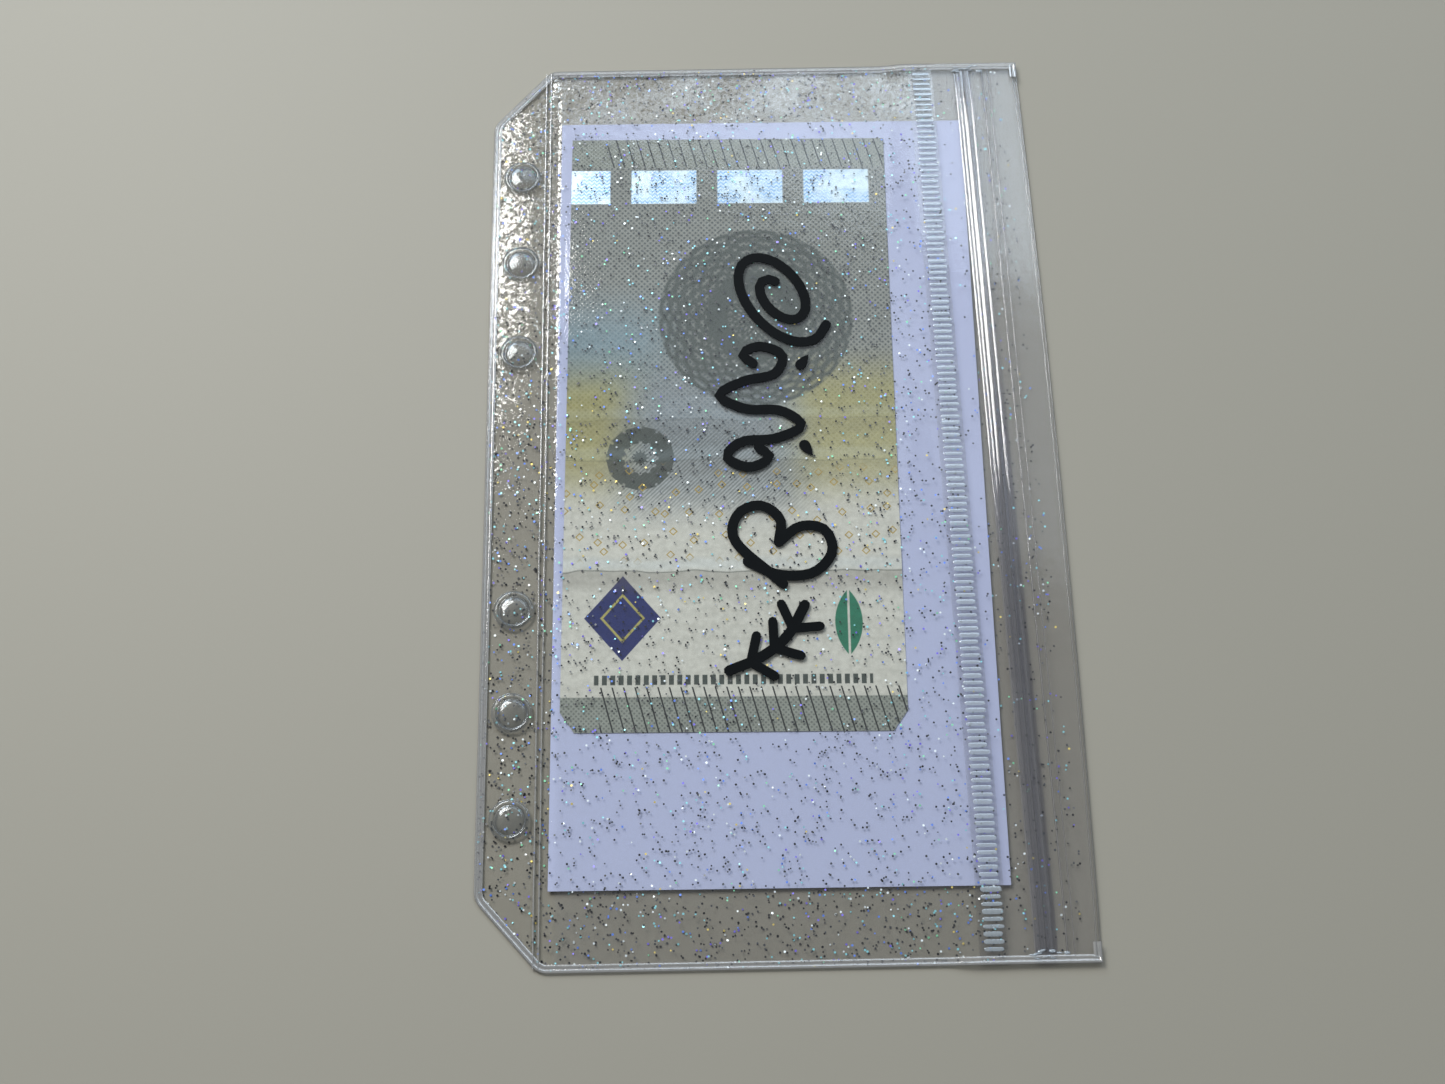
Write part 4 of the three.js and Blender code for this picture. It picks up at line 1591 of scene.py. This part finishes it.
@dataclass
class PunchOutRings:
    """Six discs that are still in place, each in its welded ring."""

    layout: PocketLayout
    inset: float = 5.9 * MM
    pitch: float = 19 * MM
    group_gap: float = 51 * MM
    shift: float = 0.8 * MM
    segments: int = 64
    outer: float = 3.65 * MM
    body: float = 0.08 * MM
    lift: float = 0.18 * MM
    lean: float = 0.012
    dent_place: float = 1.1 * MM
    dent_reach: float = 1.2 * MM
    dent_depth: float = 0.05 * MM
    seed: int = 5
    profile: tuple[tuple[float, float], ...] = (
        (3.55 * MM, 0.03 * MM),
        (3.42 * MM, 0.14 * MM),
        (3.25 * MM, 0.24 * MM),
        (3.08 * MM, 0.26 * MM),
        (2.92 * MM, 0.20 * MM),
        (2.80 * MM, 0.08 * MM),
        (2.70 * MM, -0.02 * MM),
        (2.58 * MM, -0.02 * MM),
        (2.50 * MM, 0.04 * MM),
        (2.38 * MM, 0.11 * MM),
        (2.20 * MM, 0.18 * MM),
        (1.90 * MM, 0.25 * MM),
        (1.50 * MM, 0.31 * MM),
        (1.00 * MM, 0.35 * MM),
        (0.45 * MM, 0.37 * MM),
    )

    def centres(self) -> list[tuple[float, float]]:
        """Where the six discs lie.

        Returns:
            The middle of each disc.
        """
        x = self.layout.left + self.inset
        reach = [self.group_gap / 2 + step * self.pitch for step in range(3)]
        return [(x, self.shift + side * away) for side in (-1, 1) for away in reach]

    def build(self) -> bpy.types.Object:
        """Models one ring by insetting a disc, and copies it to the other places.

        Returns:
            All six as one piece.
        """
        layout = self.layout
        start_clean()
        bpy.ops.mesh.primitive_circle_add(
            vertices=self.segments, radius=self.outer, fill_type="NGON"
        )
        first = bpy.context.object
        bpy.ops.object.mode_set(mode="EDIT")
        bpy.ops.mesh.select_all(action="SELECT")
        radius, height = self.outer, 0.0
        for next_radius, next_height in self.profile:
            bpy.ops.mesh.inset(thickness=radius - next_radius, depth=next_height - height)
            radius, height = next_radius, next_height
        bpy.ops.mesh.poke()
        bpy.ops.object.mode_set(mode="OBJECT")
        apply_modifier(first, "SOLIDIFY", thickness=self.body, offset=1)
        rings = []
        rng = np.random.default_rng(self.seed)
        for x, y in self.centres():
            ring = first.copy()
            ring.data = first.data.copy()
            bpy.context.collection.objects.link(ring)
            points = points_of(ring)
            tilt = rng.normal(0, self.lean, 2)
            points[:, 2] += points[:, 0] * tilt[0] + points[:, 1] * tilt[1]
            away = (points[:, 0] - self.dent_place) ** 2 + points[:, 1] ** 2
            points[:, 2] -= np.exp(-away / self.dent_reach**2) * self.dent_depth
            points += (x, y, layout.seat + layout.film + self.lift)
            move_points(ring, points)
            rings.append(ring)
        bpy.data.objects.remove(first)
        return settle(join(rings), "punch_out_rings")


@dataclass
class LadderWeld:
    """The row of short bars that welds the film to the zip tape."""

    layout: PocketLayout
    pitch: float = 1.25 * MM
    bar_width: float = 0.86 * MM
    bar_height: float = 0.17 * MM
    sunk: float = 0.05 * MM
    fall: float = 0.30
    taper: float = 0.10
    sizes: Span = (0.75, 1.1)
    nudges: Span = (-0.12, 0.12)
    nudge_widens: float = 2 * MM
    seed: int = 11

    def build(self) -> bpy.types.Object:
        """Models one pillow-shaped bar and repeats it up the pocket.

        Returns:
            All bars as one piece.
        """
        layout = self.layout
        count = int((2 * layout.top - 2 * layout.rim - self.pitch) / self.pitch)
        start_clean()
        bpy.ops.mesh.primitive_cube_add(size=1)
        bar = bpy.context.object
        bpy.ops.object.mode_set(mode="EDIT")
        bpy.ops.mesh.subdivide(number_cuts=2)
        bpy.ops.object.mode_set(mode="OBJECT")
        points = points_of(bar)
        aside = 2 * np.abs(points[:, 1])
        rounding = 1 - self.fall * aside**3
        points[:, 0] *= layout.ladder_width * (1 - self.taper * aside**2)
        points[:, 1] *= self.bar_width
        points[:, 2] = (points[:, 2] + 0.5) * self.bar_height * rounding
        move_points(bar, points)
        apply_modifier(bar, "SUBSURF", levels=1, render_levels=1)
        apply_modifier(
            bar,
            "ARRAY",
            count=count,
            use_relative_offset=False,
            use_constant_offset=True,
            constant_offset_displace=(0, self.pitch, 0),
        )
        points = points_of(bar)
        number = np.floor((points[:, 1] + self.pitch / 2) / self.pitch)
        local = points[:, 1] - number * self.pitch
        rng = np.random.default_rng(self.seed)
        size = rng.uniform(*self.sizes, count + 1)[number.astype(int)]
        nudge = rng.uniform(*self.nudges, count + 1)[number.astype(int)] * MM
        middle = (number - (count - 1) / 2) * self.pitch
        y = middle + local * size
        x = layout.ladder_middle(y) + points[:, 0] * (1 + nudge / self.nudge_widens) + nudge
        sag = layout.front_tape_top(y) + layout.hairline + layout.film - self.sunk
        points = np.column_stack([x, y, sag + points[:, 2] * size])
        move_points(bar, points)
        return settle(bar, "ladder_weld")


@dataclass
class ZipLines:
    """The slanted ribs along the zip's front, and the crushed lumps at its two welded ends."""

    layout: PocketLayout
    bands: tuple[tuple[float, float], ...] = (
        (-1.95 * MM, 0.22 * MM),
        (-1.27 * MM, 0.27 * MM),
        (-0.42 * MM, 0.50 * MM),
        (0.88 * MM, 0.27 * MM),
    )
    section: tuple[tuple[float, float], ...] = (
        (-1.00, 0.00),
        (-0.78, 0.00),
        (-0.66, 0.04),
        (0.40, 0.42),
        (0.58, 0.42),
        (0.76, 0.02),
        (1.00, 0.00),
    )
    grips: tuple[tuple[float, float], ...] = ((3.45 * MM, 0.17 * MM), (4.70 * MM, 0.11 * MM))
    flat_share: float = 0.42
    full_from: float = 5 * MM
    flat_below: float = -14 * MM
    rows: int = 90
    body: float = 0.05 * MM
    edge_radius: float = 0.13 * MM
    upper_edge: Span = (1.0 * MM, 0.04 * MM)
    lower_edge: float = 0.15 * MM
    lumps: int = 9
    lump_from_end: Span = (0.7, 2.2)
    lump_across: Span = (-2.6, 3.4)
    lump_length: Span = (0.35, 0.9)
    lump_width: Span = (0.15, 0.35)
    lump_height: float = 0.16 * MM
    lump_turn: Span = (-0.5, 0.5)
    lump_lift: float = 0.2 * MM
    seed: int = 23

    def ribs(self) -> bpy.types.Object:
        """Models the ribs as one corrugated strip, with two thin round ridges on the lip.

        Returns:
            The ribs and ridges as one piece.
        """
        layout = self.layout
        profile = [(c + x * half, z * half) for c, half in self.bands for x, z in self.section]
        across, up = np.array(profile).T
        start_clean()
        bpy.ops.mesh.primitive_grid_add(
            x_subdivisions=len(profile) - 1, y_subdivisions=self.rows, size=2
        )
        strip = bpy.context.object
        grid = points_of(strip)
        column = np.rint((grid[:, 0] + 1) / 2 * (len(profile) - 1)).astype(int)
        y = grid[:, 1] * (layout.top - layout.rim)
        x = layout.zip_middle(y) + across[column]
        steep = eased((y - self.flat_below) / (self.full_from - self.flat_below))
        share = self.flat_share + (1 - self.flat_share) * steep
        z = layout.front_tape_top(y) + up[column] * share
        move_points(strip, np.column_stack([x, y, z]))
        apply_modifier(strip, "SOLIDIFY", thickness=self.body, offset=-1)
        y = np.linspace(-1, 1, self.rows) * (layout.top - layout.rim)
        ridges = [
            tube(list(zip(layout.zip_middle(y) + away, y, layout.front_tape_top(y))), radius)
            for away, radius in self.grips
        ]
        return settle(join([strip, *ridges]), "zip_ribs")

    def lip_edges(self) -> bpy.types.Object:
        """Models the thickened edges of both lips.

        Returns:
            Both edges as one piece.
        """
        layout = self.layout
        y = np.linspace(-1, 1, self.rows) * (layout.top - layout.rim)
        share = (y + layout.top) / (2 * layout.top)
        low = layout.right - layout.lip_inset_bottom
        middle = layout.right + layout.lip_bow
        high = layout.right - layout.lip_inset_top
        bow = (1 - share) ** 2 * low + 2 * share * (1 - share) * middle + share**2 * high
        inset, sunk = self.upper_edge
        upper = list(zip(bow - inset, y, layout.front_tape_top(y) - sunk))
        height = np.full_like(y, layout.seat + layout.film / 2)
        lower = list(zip(bow - self.lower_edge, y, height))
        edges = [tube(path, self.edge_radius) for path in (upper, lower)]
        return settle(join(edges), "lip_edges")

    def crushed_ends(self) -> bpy.types.Object:
        """Models the lumps of plastic where the zip is pressed into the end welds.

        Returns:
            All lumps as one piece.
        """
        layout = self.layout
        rng = np.random.default_rng(self.seed)
        lumps = []
        for side in (1, -1):
            for _ in range(self.lumps):
                y = side * (layout.top - rng.uniform(*self.lump_from_end) * MM)
                x = layout.zip_middle(y) + rng.uniform(*self.lump_across) * MM
                length = rng.uniform(*self.lump_length) * MM
                width = rng.uniform(*self.lump_width) * MM
                height = layout.front_tape_top(np.array(y)) + self.lump_lift
                start_clean()
                bpy.ops.mesh.primitive_ico_sphere_add(
                    subdivisions=2,
                    radius=1,
                    scale=(length, width, self.lump_height),
                    rotation=(0, 0, rng.uniform(*self.lump_turn)),
                    location=(x, y, height),
                )
                lumps.append(bpy.context.object)
        return settle(join(lumps), "crushed_zip_ends")


@dataclass
class Glitter:
    """Foil flakes cast into a film: mostly dark, with some that shine in foil colours."""

    layout: PocketLayout
    density: float = 0.40e6
    lip_density: float = 0.12e6
    radius: float = 0.19 * MM
    thickness: float = 0.02 * MM
    lean: float = 0.10
    sizes: Span = (0.75, 1.2)
    edge: float = 0.4 * MM
    cut_edge: float = 1.4
    seam: float = 0.3 * MM
    tape_width: float = 13.8 * MM
    tape_field: float = 16 * MM
    tape_start: float = 0.02
    tape_ends: float = 2 * MM
    colours: tuple[tuple[Colour, float], ...] = (
        (srgb(34, 36, 42), 0.50),
        (srgb(78, 82, 88), 0.17),
        (srgb(150, 222, 232), 0.10),
        (srgb(110, 150, 246), 0.08),
        (srgb(132, 120, 238), 0.05),
        (srgb(236, 246, 250), 0.08),
        (srgb(150, 236, 190), 0.03),
        (srgb(238, 216, 120), 0.02),
    )

    def flake(self) -> tuple[np.ndarray, np.ndarray]:
        """Models one thin six-sided flake and gives its points and triangles.

        Returns:
            The flake's points and its triangles.
        """
        start_clean()
        bpy.ops.mesh.primitive_circle_add(vertices=6, radius=self.radius, fill_type="TRIFAN")
        flake = bpy.context.object
        bpy.ops.object.mode_set(mode="EDIT")
        bpy.ops.mesh.select_all(action="SELECT")
        bpy.ops.mesh.extrude_region_move(
            TRANSFORM_OT_translate={"value": (0, 0, self.thickness)}
        )
        bpy.ops.object.mode_set(mode="OBJECT")
        face_outwards(flake)
        flake.data.calc_loop_triangles()
        points = points_of(flake)
        faces = np.array([triangle.vertices[:] for triangle in flake.data.loop_triangles])
        bpy.data.objects.remove(flake)
        return points, faces

    def scatter(self, name: str, places: np.ndarray, seed: int) -> bpy.types.Object:
        """Copies the flake to many places as one piece, each tilted and coloured by chance.

        Args:
            name: The piece's name.
            places: The flakes' middles, one row each.
            seed: What the chance starts from.

        Returns:
            The piece with a colour attribute.
        """
        points, faces = self.flake()
        rng = np.random.default_rng(seed)
        count = len(places)
        tilt = rng.normal(0, self.lean, (count, 2))
        turn = rng.uniform(0, math.pi, count)
        size = rng.uniform(*self.sizes, count)
        cos, sin = np.cos(turn) * size, np.sin(turn) * size
        x = points[:, 0] * cos[:, None] - points[:, 1] * sin[:, None]
        y = points[:, 0] * sin[:, None] + points[:, 1] * cos[:, None]
        z = points[:, 2] + x * tilt[:, :1] + y * tilt[:, 1:]
        spread = np.stack([x, y, z], axis=2) + places[:, None, :]
        mesh = bpy.data.meshes.new(name)
        all_faces = faces[None] + (np.arange(count) * len(points))[:, None, None]
        mesh.from_pydata(spread.reshape(-1, 3), [], all_faces.reshape(-1, 3).tolist())
        shares = np.array([share for _, share in self.colours])
        chosen = rng.choice(len(shares), count, p=shares / shares.sum())
        table = np.array([(*colour, 1.0) for colour, _ in self.colours])
        per_point = np.repeat(table[chosen], len(points), axis=0)
        attribute = mesh.color_attributes.new(FLAKE_COLOUR, "FLOAT_COLOR", "POINT")
        attribute.data.foreach_set("color", per_point.astype(np.float32).ravel())
        piece = bpy.data.objects.new(name, mesh)
        bpy.context.collection.objects.link(piece)
        return piece

    def inside_outline(self, x: np.ndarray, y: np.ndarray) -> np.ndarray:
        """Which places lie clear of the pocket's edge and of its two cut corners.

        Args:
            x: Places across the pocket.
            y: Places along the pocket.

        Returns:
            True for each place that lies clear.
        """
        layout = self.layout
        across = (x - layout.left) / layout.corner_cut_width
        down = (layout.top - np.abs(y)) / layout.corner_cut_height
        clear = across + down > 1 + self.cut_edge * self.edge / layout.corner_cut_width
        beside = x > layout.left + self.edge
        return clear & beside & (np.abs(y) < layout.top - self.edge)

    def in_film(self, side: Side, sheets: FilmSheets, seed: int) -> bpy.types.Object:
        """Scatters the flakes of one glitter film.

        Args:
            side: Which film it is.
            sheets: The films and their waves.
            seed: What the chance starts from.

        Returns:
            The flakes as one piece.
        """
        layout = self.layout
        rng = np.random.default_rng(seed)
        width = layout.film_right(np.array(-layout.top)) - layout.left
        count = int(self.density * width * 2 * layout.top)
        y = rng.uniform(-layout.top, layout.top, count)
        x = layout.left + rng.uniform(0, 1, count) * width
        keep = self.inside_outline(x, y) & (x < layout.film_right(y) - self.seam)
        x, y = x[keep], y[keep]
        if side is Side.FRONT:
            z = layout.film_under(x, y) + sheets.ripple(x, y) + layout.film / 2
        else:
            z = np.full_like(x, layout.film / 2)
        return self.scatter(f"{side.value}_glitter", np.column_stack([x, y, z]), seed + 1)

    def in_tapes(self, seed: int) -> bpy.types.Object:
        """Scatters the sparser flakes of both zip tapes.

        Args:
            seed: What the chance starts from.

        Returns:
            The flakes as one piece.
        """
        layout = self.layout
        rng = np.random.default_rng(seed)
        count = int(self.lip_density * self.tape_field * 2 * layout.top)
        rows = []
        for upper in (True, False):
            y = rng.uniform(-1, 1, count) * (layout.top - self.tape_ends)
            x = layout.film_right(y) + rng.uniform(self.tape_start, 1, count) * self.tape_width
            middle = layout.front_tape_top(y) - layout.film / 2
            z = middle if upper else np.full_like(x, layout.seat + layout.film / 2)
            rows.append(np.column_stack([x, y, z]))
        return self.scatter("tape_glitter", np.vstack(rows), seed + 1)


@dataclass
class PrintedNote:
    """The paper slip: a thin sheet with creases, soft waves and two cut corners."""

    width: float = 62 * MM
    length: float = 120 * MM
    thickness: float = 0.11 * MM
    turn: float = math.radians(-0.6)
    cut_width: float = 2.6 * MM
    cut_height: float = 3.7 * MM
    under: float = 0.93 * MM
    folds: tuple[tuple[float, float, float], ...] = (
        (68.5 * MM, 0.07 * MM, 9 * MM),
        (60.5 * MM, 0.04 * MM, 5 * MM),
        (90.2 * MM, 0.18 * MM, 14 * MM),
    )
    fall: float = 3.2 * MM
    fold_sway: float = 0.6 * MM
    fold_rate: float = 60
    wave: float = 0.05 * MM
    wave_rates: tuple[float, ...] = (120, 40, 85, 30)
    columns: int = 62
    rows: int = 240

    def height(self, x: np.ndarray, y: np.ndarray) -> np.ndarray:
        """The sheet's height above its lowest line; y runs down from the top edge.

        Args:
            x: Places across the sheet.
            y: Places down the sheet.

        Returns:
            The height at each place.
        """
        across, sway, down, slant = self.wave_rates
        bent = np.sin(x * across + 2 * np.sin(y * sway)) + np.sin(y * down + x * slant)
        height = (bent / 4 + 0.5) * self.wave
        for line, rise, run in self.folds:
            bent = line + self.fold_sway * np.sin(x * self.fold_rate)
            before = eased((y - bent + run) / run) ** 2 * (y <= bent)
            after = eased(1 - (y - bent) / self.fall) * (y > bent)
            height = height + rise * (before + after)
        return height

    def build(self) -> bpy.types.Object:
        """Models the sheet and keeps each point's place on it for the print.

        Returns:
            The slip.
        """
        low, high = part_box("paper_note")
        start_clean()
        bpy.ops.mesh.primitive_grid_add(
            x_subdivisions=self.columns, y_subdivisions=self.rows, size=2
        )
        sheet = bpy.context.object
        flat = points_of(sheet)
        flat[:, 0] *= self.width / 2
        flat[:, 1] *= self.length / 2
        move_points(sheet, flat)
        select_only(sheet)
        bpy.ops.object.mode_set(mode="EDIT")
        for side in (1, -1):
            corner = Vector((side * (self.width / 2 - self.cut_width), -self.length / 2, 0))
            normal = Vector((side * self.cut_height, -self.cut_width, 0)).normalized()
            bpy.ops.mesh.select_all(action="SELECT")
            bpy.ops.mesh.bisect(plane_co=corner, plane_no=normal, clear_outer=True)
        bpy.ops.object.mode_set(mode="OBJECT")
        flat = points_of(sheet)
        across = flat[:, 0] + self.width / 2
        down = self.length / 2 - flat[:, 1]
        turned = Matrix.Rotation(self.turn, 3, "Z")
        places = flat @ np.array(turned).T
        middle = (low + high) / 2
        places[:, 0] += middle.x
        places[:, 1] += middle.y
        places[:, 2] = self.under + self.height(across, down)
        move_points(sheet, places)
        sheet_mm = sheet.data.attributes.new(SHEET_PLACE, "FLOAT_VECTOR", "POINT")
        rows = np.column_stack([across, down, np.zeros_like(down)]) / MM
        sheet_mm.data.foreach_set("vector", rows.astype(np.float32).ravel())
        apply_modifier(sheet, "SOLIDIFY", thickness=self.thickness, offset=1)
        return settle(sheet, "printed_note")


# The stage


@dataclass(frozen=True)
class SoftBox:
    """A lamp with a rectangular face that looks at the pocket."""

    name: str
    place: Point
    size: Span
    radiance: float
    colour: Colour

    def hang(self) -> None:
        """Makes the lamp and hangs it in its place."""
        data = bpy.data.lights.new(self.name, "AREA")
        data.shape = "RECTANGLE"
        data.size, data.size_y = self.size
        data.energy = self.radiance * math.pi * self.size[0] * self.size[1]
        data.color = self.colour
        lamp = bpy.data.objects.new(self.name, data)
        lamp.location = self.place
        lamp.rotation_euler = (-Vector(self.place)).to_track_quat("-Z", "Y").to_euler()
        bpy.context.collection.objects.link(lamp)


@dataclass
class Studio:
    """A plain pale floor, soft light from the upper left and the camera of the photo."""

    focal: float = 1646.4
    frame_width: float = 1445
    sensor: float = 36
    camera_place: Point = (-11.228 * MM, -106.307 * MM, 288.865 * MM)
    camera_look: Point = (0.00502, 0.30995, -0.95074)
    camera_up: Point = (0.01821, 0.95057, 0.30999)
    floor_colour: Colour = srgb(150, 147, 136)
    fill: float = 0.21
    fill_colour: Colour = (0.93, 0.97, 1.0)
    floor_size: float = 6
    floor_drop: float = 0.05 * MM
    floor_roughness: float = 0.6
    clip_start: float = 1 * MM
    boxes: tuple[SoftBox, ...] = (
        SoftBox("window", (-0.46, 0.53, 0.87), (0.50, 0.44), 15.0, (1.0, 0.98, 0.95)),
        SoftBox("left_sky", (-0.44, 0.82, 0.62), (0.40, 0.34), 6.5, (0.72, 0.86, 1.0)),
        SoftBox("high_sky", (0.34, 0.78, 0.92), (1.05, 0.52), 2.0, (0.74, 0.87, 1.0)),
        SoftBox("low_sky", (0.34, 0.64, 0.96), (1.10, 0.72), 0.6, (0.80, 0.90, 1.0)),
    )

    def floor(self) -> None:
        """Lays the floor just below the pocket."""
        start_clean()
        bpy.ops.mesh.primitive_plane_add(size=self.floor_size, location=(0, 0, -self.floor_drop))
        floor = bpy.context.object
        floor.name = "floor"
        material = bpy.data.materials.new("pale_floor")
        material.use_nodes = True
        shader = material.node_tree.nodes["Principled BSDF"]
        shader.inputs["Base Color"].default_value = (*self.floor_colour, 1)
        shader.inputs["Roughness"].default_value = self.floor_roughness
        floor.data.materials.append(material)

    def light(self) -> None:
        """Sets the window-like soft box, the cooler boxes beside it and the even fill."""
        for box in self.boxes:
            box.hang()
        world = bpy.data.worlds.new("fill")
        world.use_nodes = True
        backdrop = world.node_tree.nodes["Background"]
        backdrop.inputs["Color"].default_value = (*self.fill_colour, 1)
        backdrop.inputs["Strength"].default_value = self.fill
        bpy.context.scene.world = world

    def camera(self) -> None:
        """Stands the camera where the photo was taken from."""
        data = bpy.data.cameras.new("camera")
        data.sensor_width = self.sensor
        data.lens = self.focal / self.frame_width * self.sensor
        data.clip_start = self.clip_start
        camera = bpy.data.objects.new("camera", data)
        look = Vector(self.camera_look).normalized()
        right = look.cross(Vector(self.camera_up)).normalized()
        up = right.cross(look)
        turn = Matrix((right, up, -look)).transposed().to_4x4()
        camera.matrix_world = Matrix.Translation(self.camera_place) @ turn
        bpy.context.collection.objects.link(camera)
        bpy.context.scene.camera = camera


def dress_nodes(nodes: Sequence[str], material: bpy.types.Material) -> None:
    """Gives CAD nodes that stay in view their finish.

    Args:
        nodes: The nodes' names.
        material: Their finish.
    """
    for name in nodes:
        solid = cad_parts[name]
        solid.data.materials.clear()
        solid.data.materials.append(material)
        LOG.info("%s: kept, dressed as %s", name, material.name)


def main() -> None:
    """Builds the looks of the pocket in order."""
    logging.basicConfig(level=logging.INFO, format="%(name)s %(message)s")
    scene = bpy.context.scene
    scene.view_settings.view_transform = "Standard"
    scene.cycles.transparent_max_bounces = 32
    (left, _, _), (right, top, _) = CAD_BOX
    layout = PocketLayout(left, right, top)
    surface, fibre = film_surface_group(), fibre_group()
    film = SheetFinish(
        "glitter_film", (0.962, 0.960, 0.956), (0.88, 0.885, 0.89), ripple=0.03, roughness=0.035,
        layout=layout, rings=PunchOutRings(layout),
    ).make(surface)
    bead = FilmFinish(
        "weld_bead", (0.965, 0.97, 0.97), (0.38, 0.39, 0.40), roughness=0.12,
        straight_on=0.26, metallic=0.5, edge_gain=2.4,
    ).make(surface)
    # The discs' bluish sheen colour is a painted reflection of the sky.
    disc = FilmFinish(
        "disc_film", (0.968, 0.972, 0.972), (0.45, 0.46, 0.47), roughness=0.10,
        straight_on=0.05, metallic=0.55, edge_gain=2.3, falloff=2.2, sheen=(0.92, 0.97, 1.0),
    ).make(surface)
    edge = FilmFinish(
        "lip_edge_film", (0.968, 0.972, 0.972), (0.45, 0.46, 0.47), roughness=0.14,
        straight_on=0.10, metallic=0.6, edge_gain=2.2,
    ).make(surface)
    # The ladder's bluish sheen colour is a painted reflection of the sky.
    rungs = FilmFinish(
        "ladder_film", (0.975, 0.98, 0.985), (0.45, 0.48, 0.52), roughness=0.2,
        straight_on=0.33, metallic=0.4, edge_gain=2.5, sheen=(0.84, 0.93, 1.0),
    ).make(surface)
    ribs = FilmFinish(
        "zip_rib", (0.94, 0.94, 0.95), (0.5, 0.5, 0.53), ripple=0.015, peel=0.003,
        roughness=0.11, straight_on=0.085, metallic=0.6, edge_gain=2.0,
    ).make(surface)
    tape = ZipFinish(
        "zip_tape", (0.962, 0.96, 0.96), (0.86, 0.86, 0.87), ripple=0.03, peel=0.004,
        layout=layout,
    ).make(surface)
    foil = GlitterFinish("glitter_foil").make()
    sheets = FilmSheets(layout)
    give(sheets.back(), film, Slot.FILM, "back_film")
    give(sheets.front(), film, Slot.FILM, "front_film")
    give(WeldedRim(layout, sheets).build(), bead, Slot.FILM)
    give(MarginWeld(layout).build(), bead, Slot.FILM)
    give(PunchOutRings(layout).build(), disc, Slot.FILM)
    give(LadderWeld(layout).build(), rungs, Slot.FILM)
    zip_lines = ZipLines(layout)
    give(zip_lines.ribs(), ribs, Slot.ZIP)
    give(zip_lines.lip_edges(), edge, Slot.ZIP)
    give(zip_lines.crushed_ends(), rungs, Slot.ZIP)
    glitter = Glitter(layout)
    give(glitter.in_film(Side.FRONT, sheets, 31), foil, Slot.FILM)
    give(glitter.in_film(Side.BACK, sheets, 41), foil, Slot.FILM)
    give(glitter.in_tapes(51), foil, Slot.ZIP)
    note = PrintFinish("slip_print").make(fibre)
    give(PrintedNote().build(), note, Slot.PAPER, "paper_note")
    card = PlainFinish("card", srgb(184, 192, 223), 0.75, mottle=0.02).make(fibre)
    vinyl = PlainFinish(
        "matt_vinyl", srgb(6, 10, 13), 0.55, mottle=0.25, relief=0.3, grain=700,
        specular=0.07,
    ).make(fibre)
    dress_nodes(["back_zip_tape", "front_zip_tape"], tape)
    dress_nodes(["card_insert"], card)
    dress_nodes([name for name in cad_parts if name.startswith("vinyl_")], vinyl)
    studio = Studio()
    studio.floor()
    studio.light()
    studio.camera()


if __name__ == "__main__":
    main()
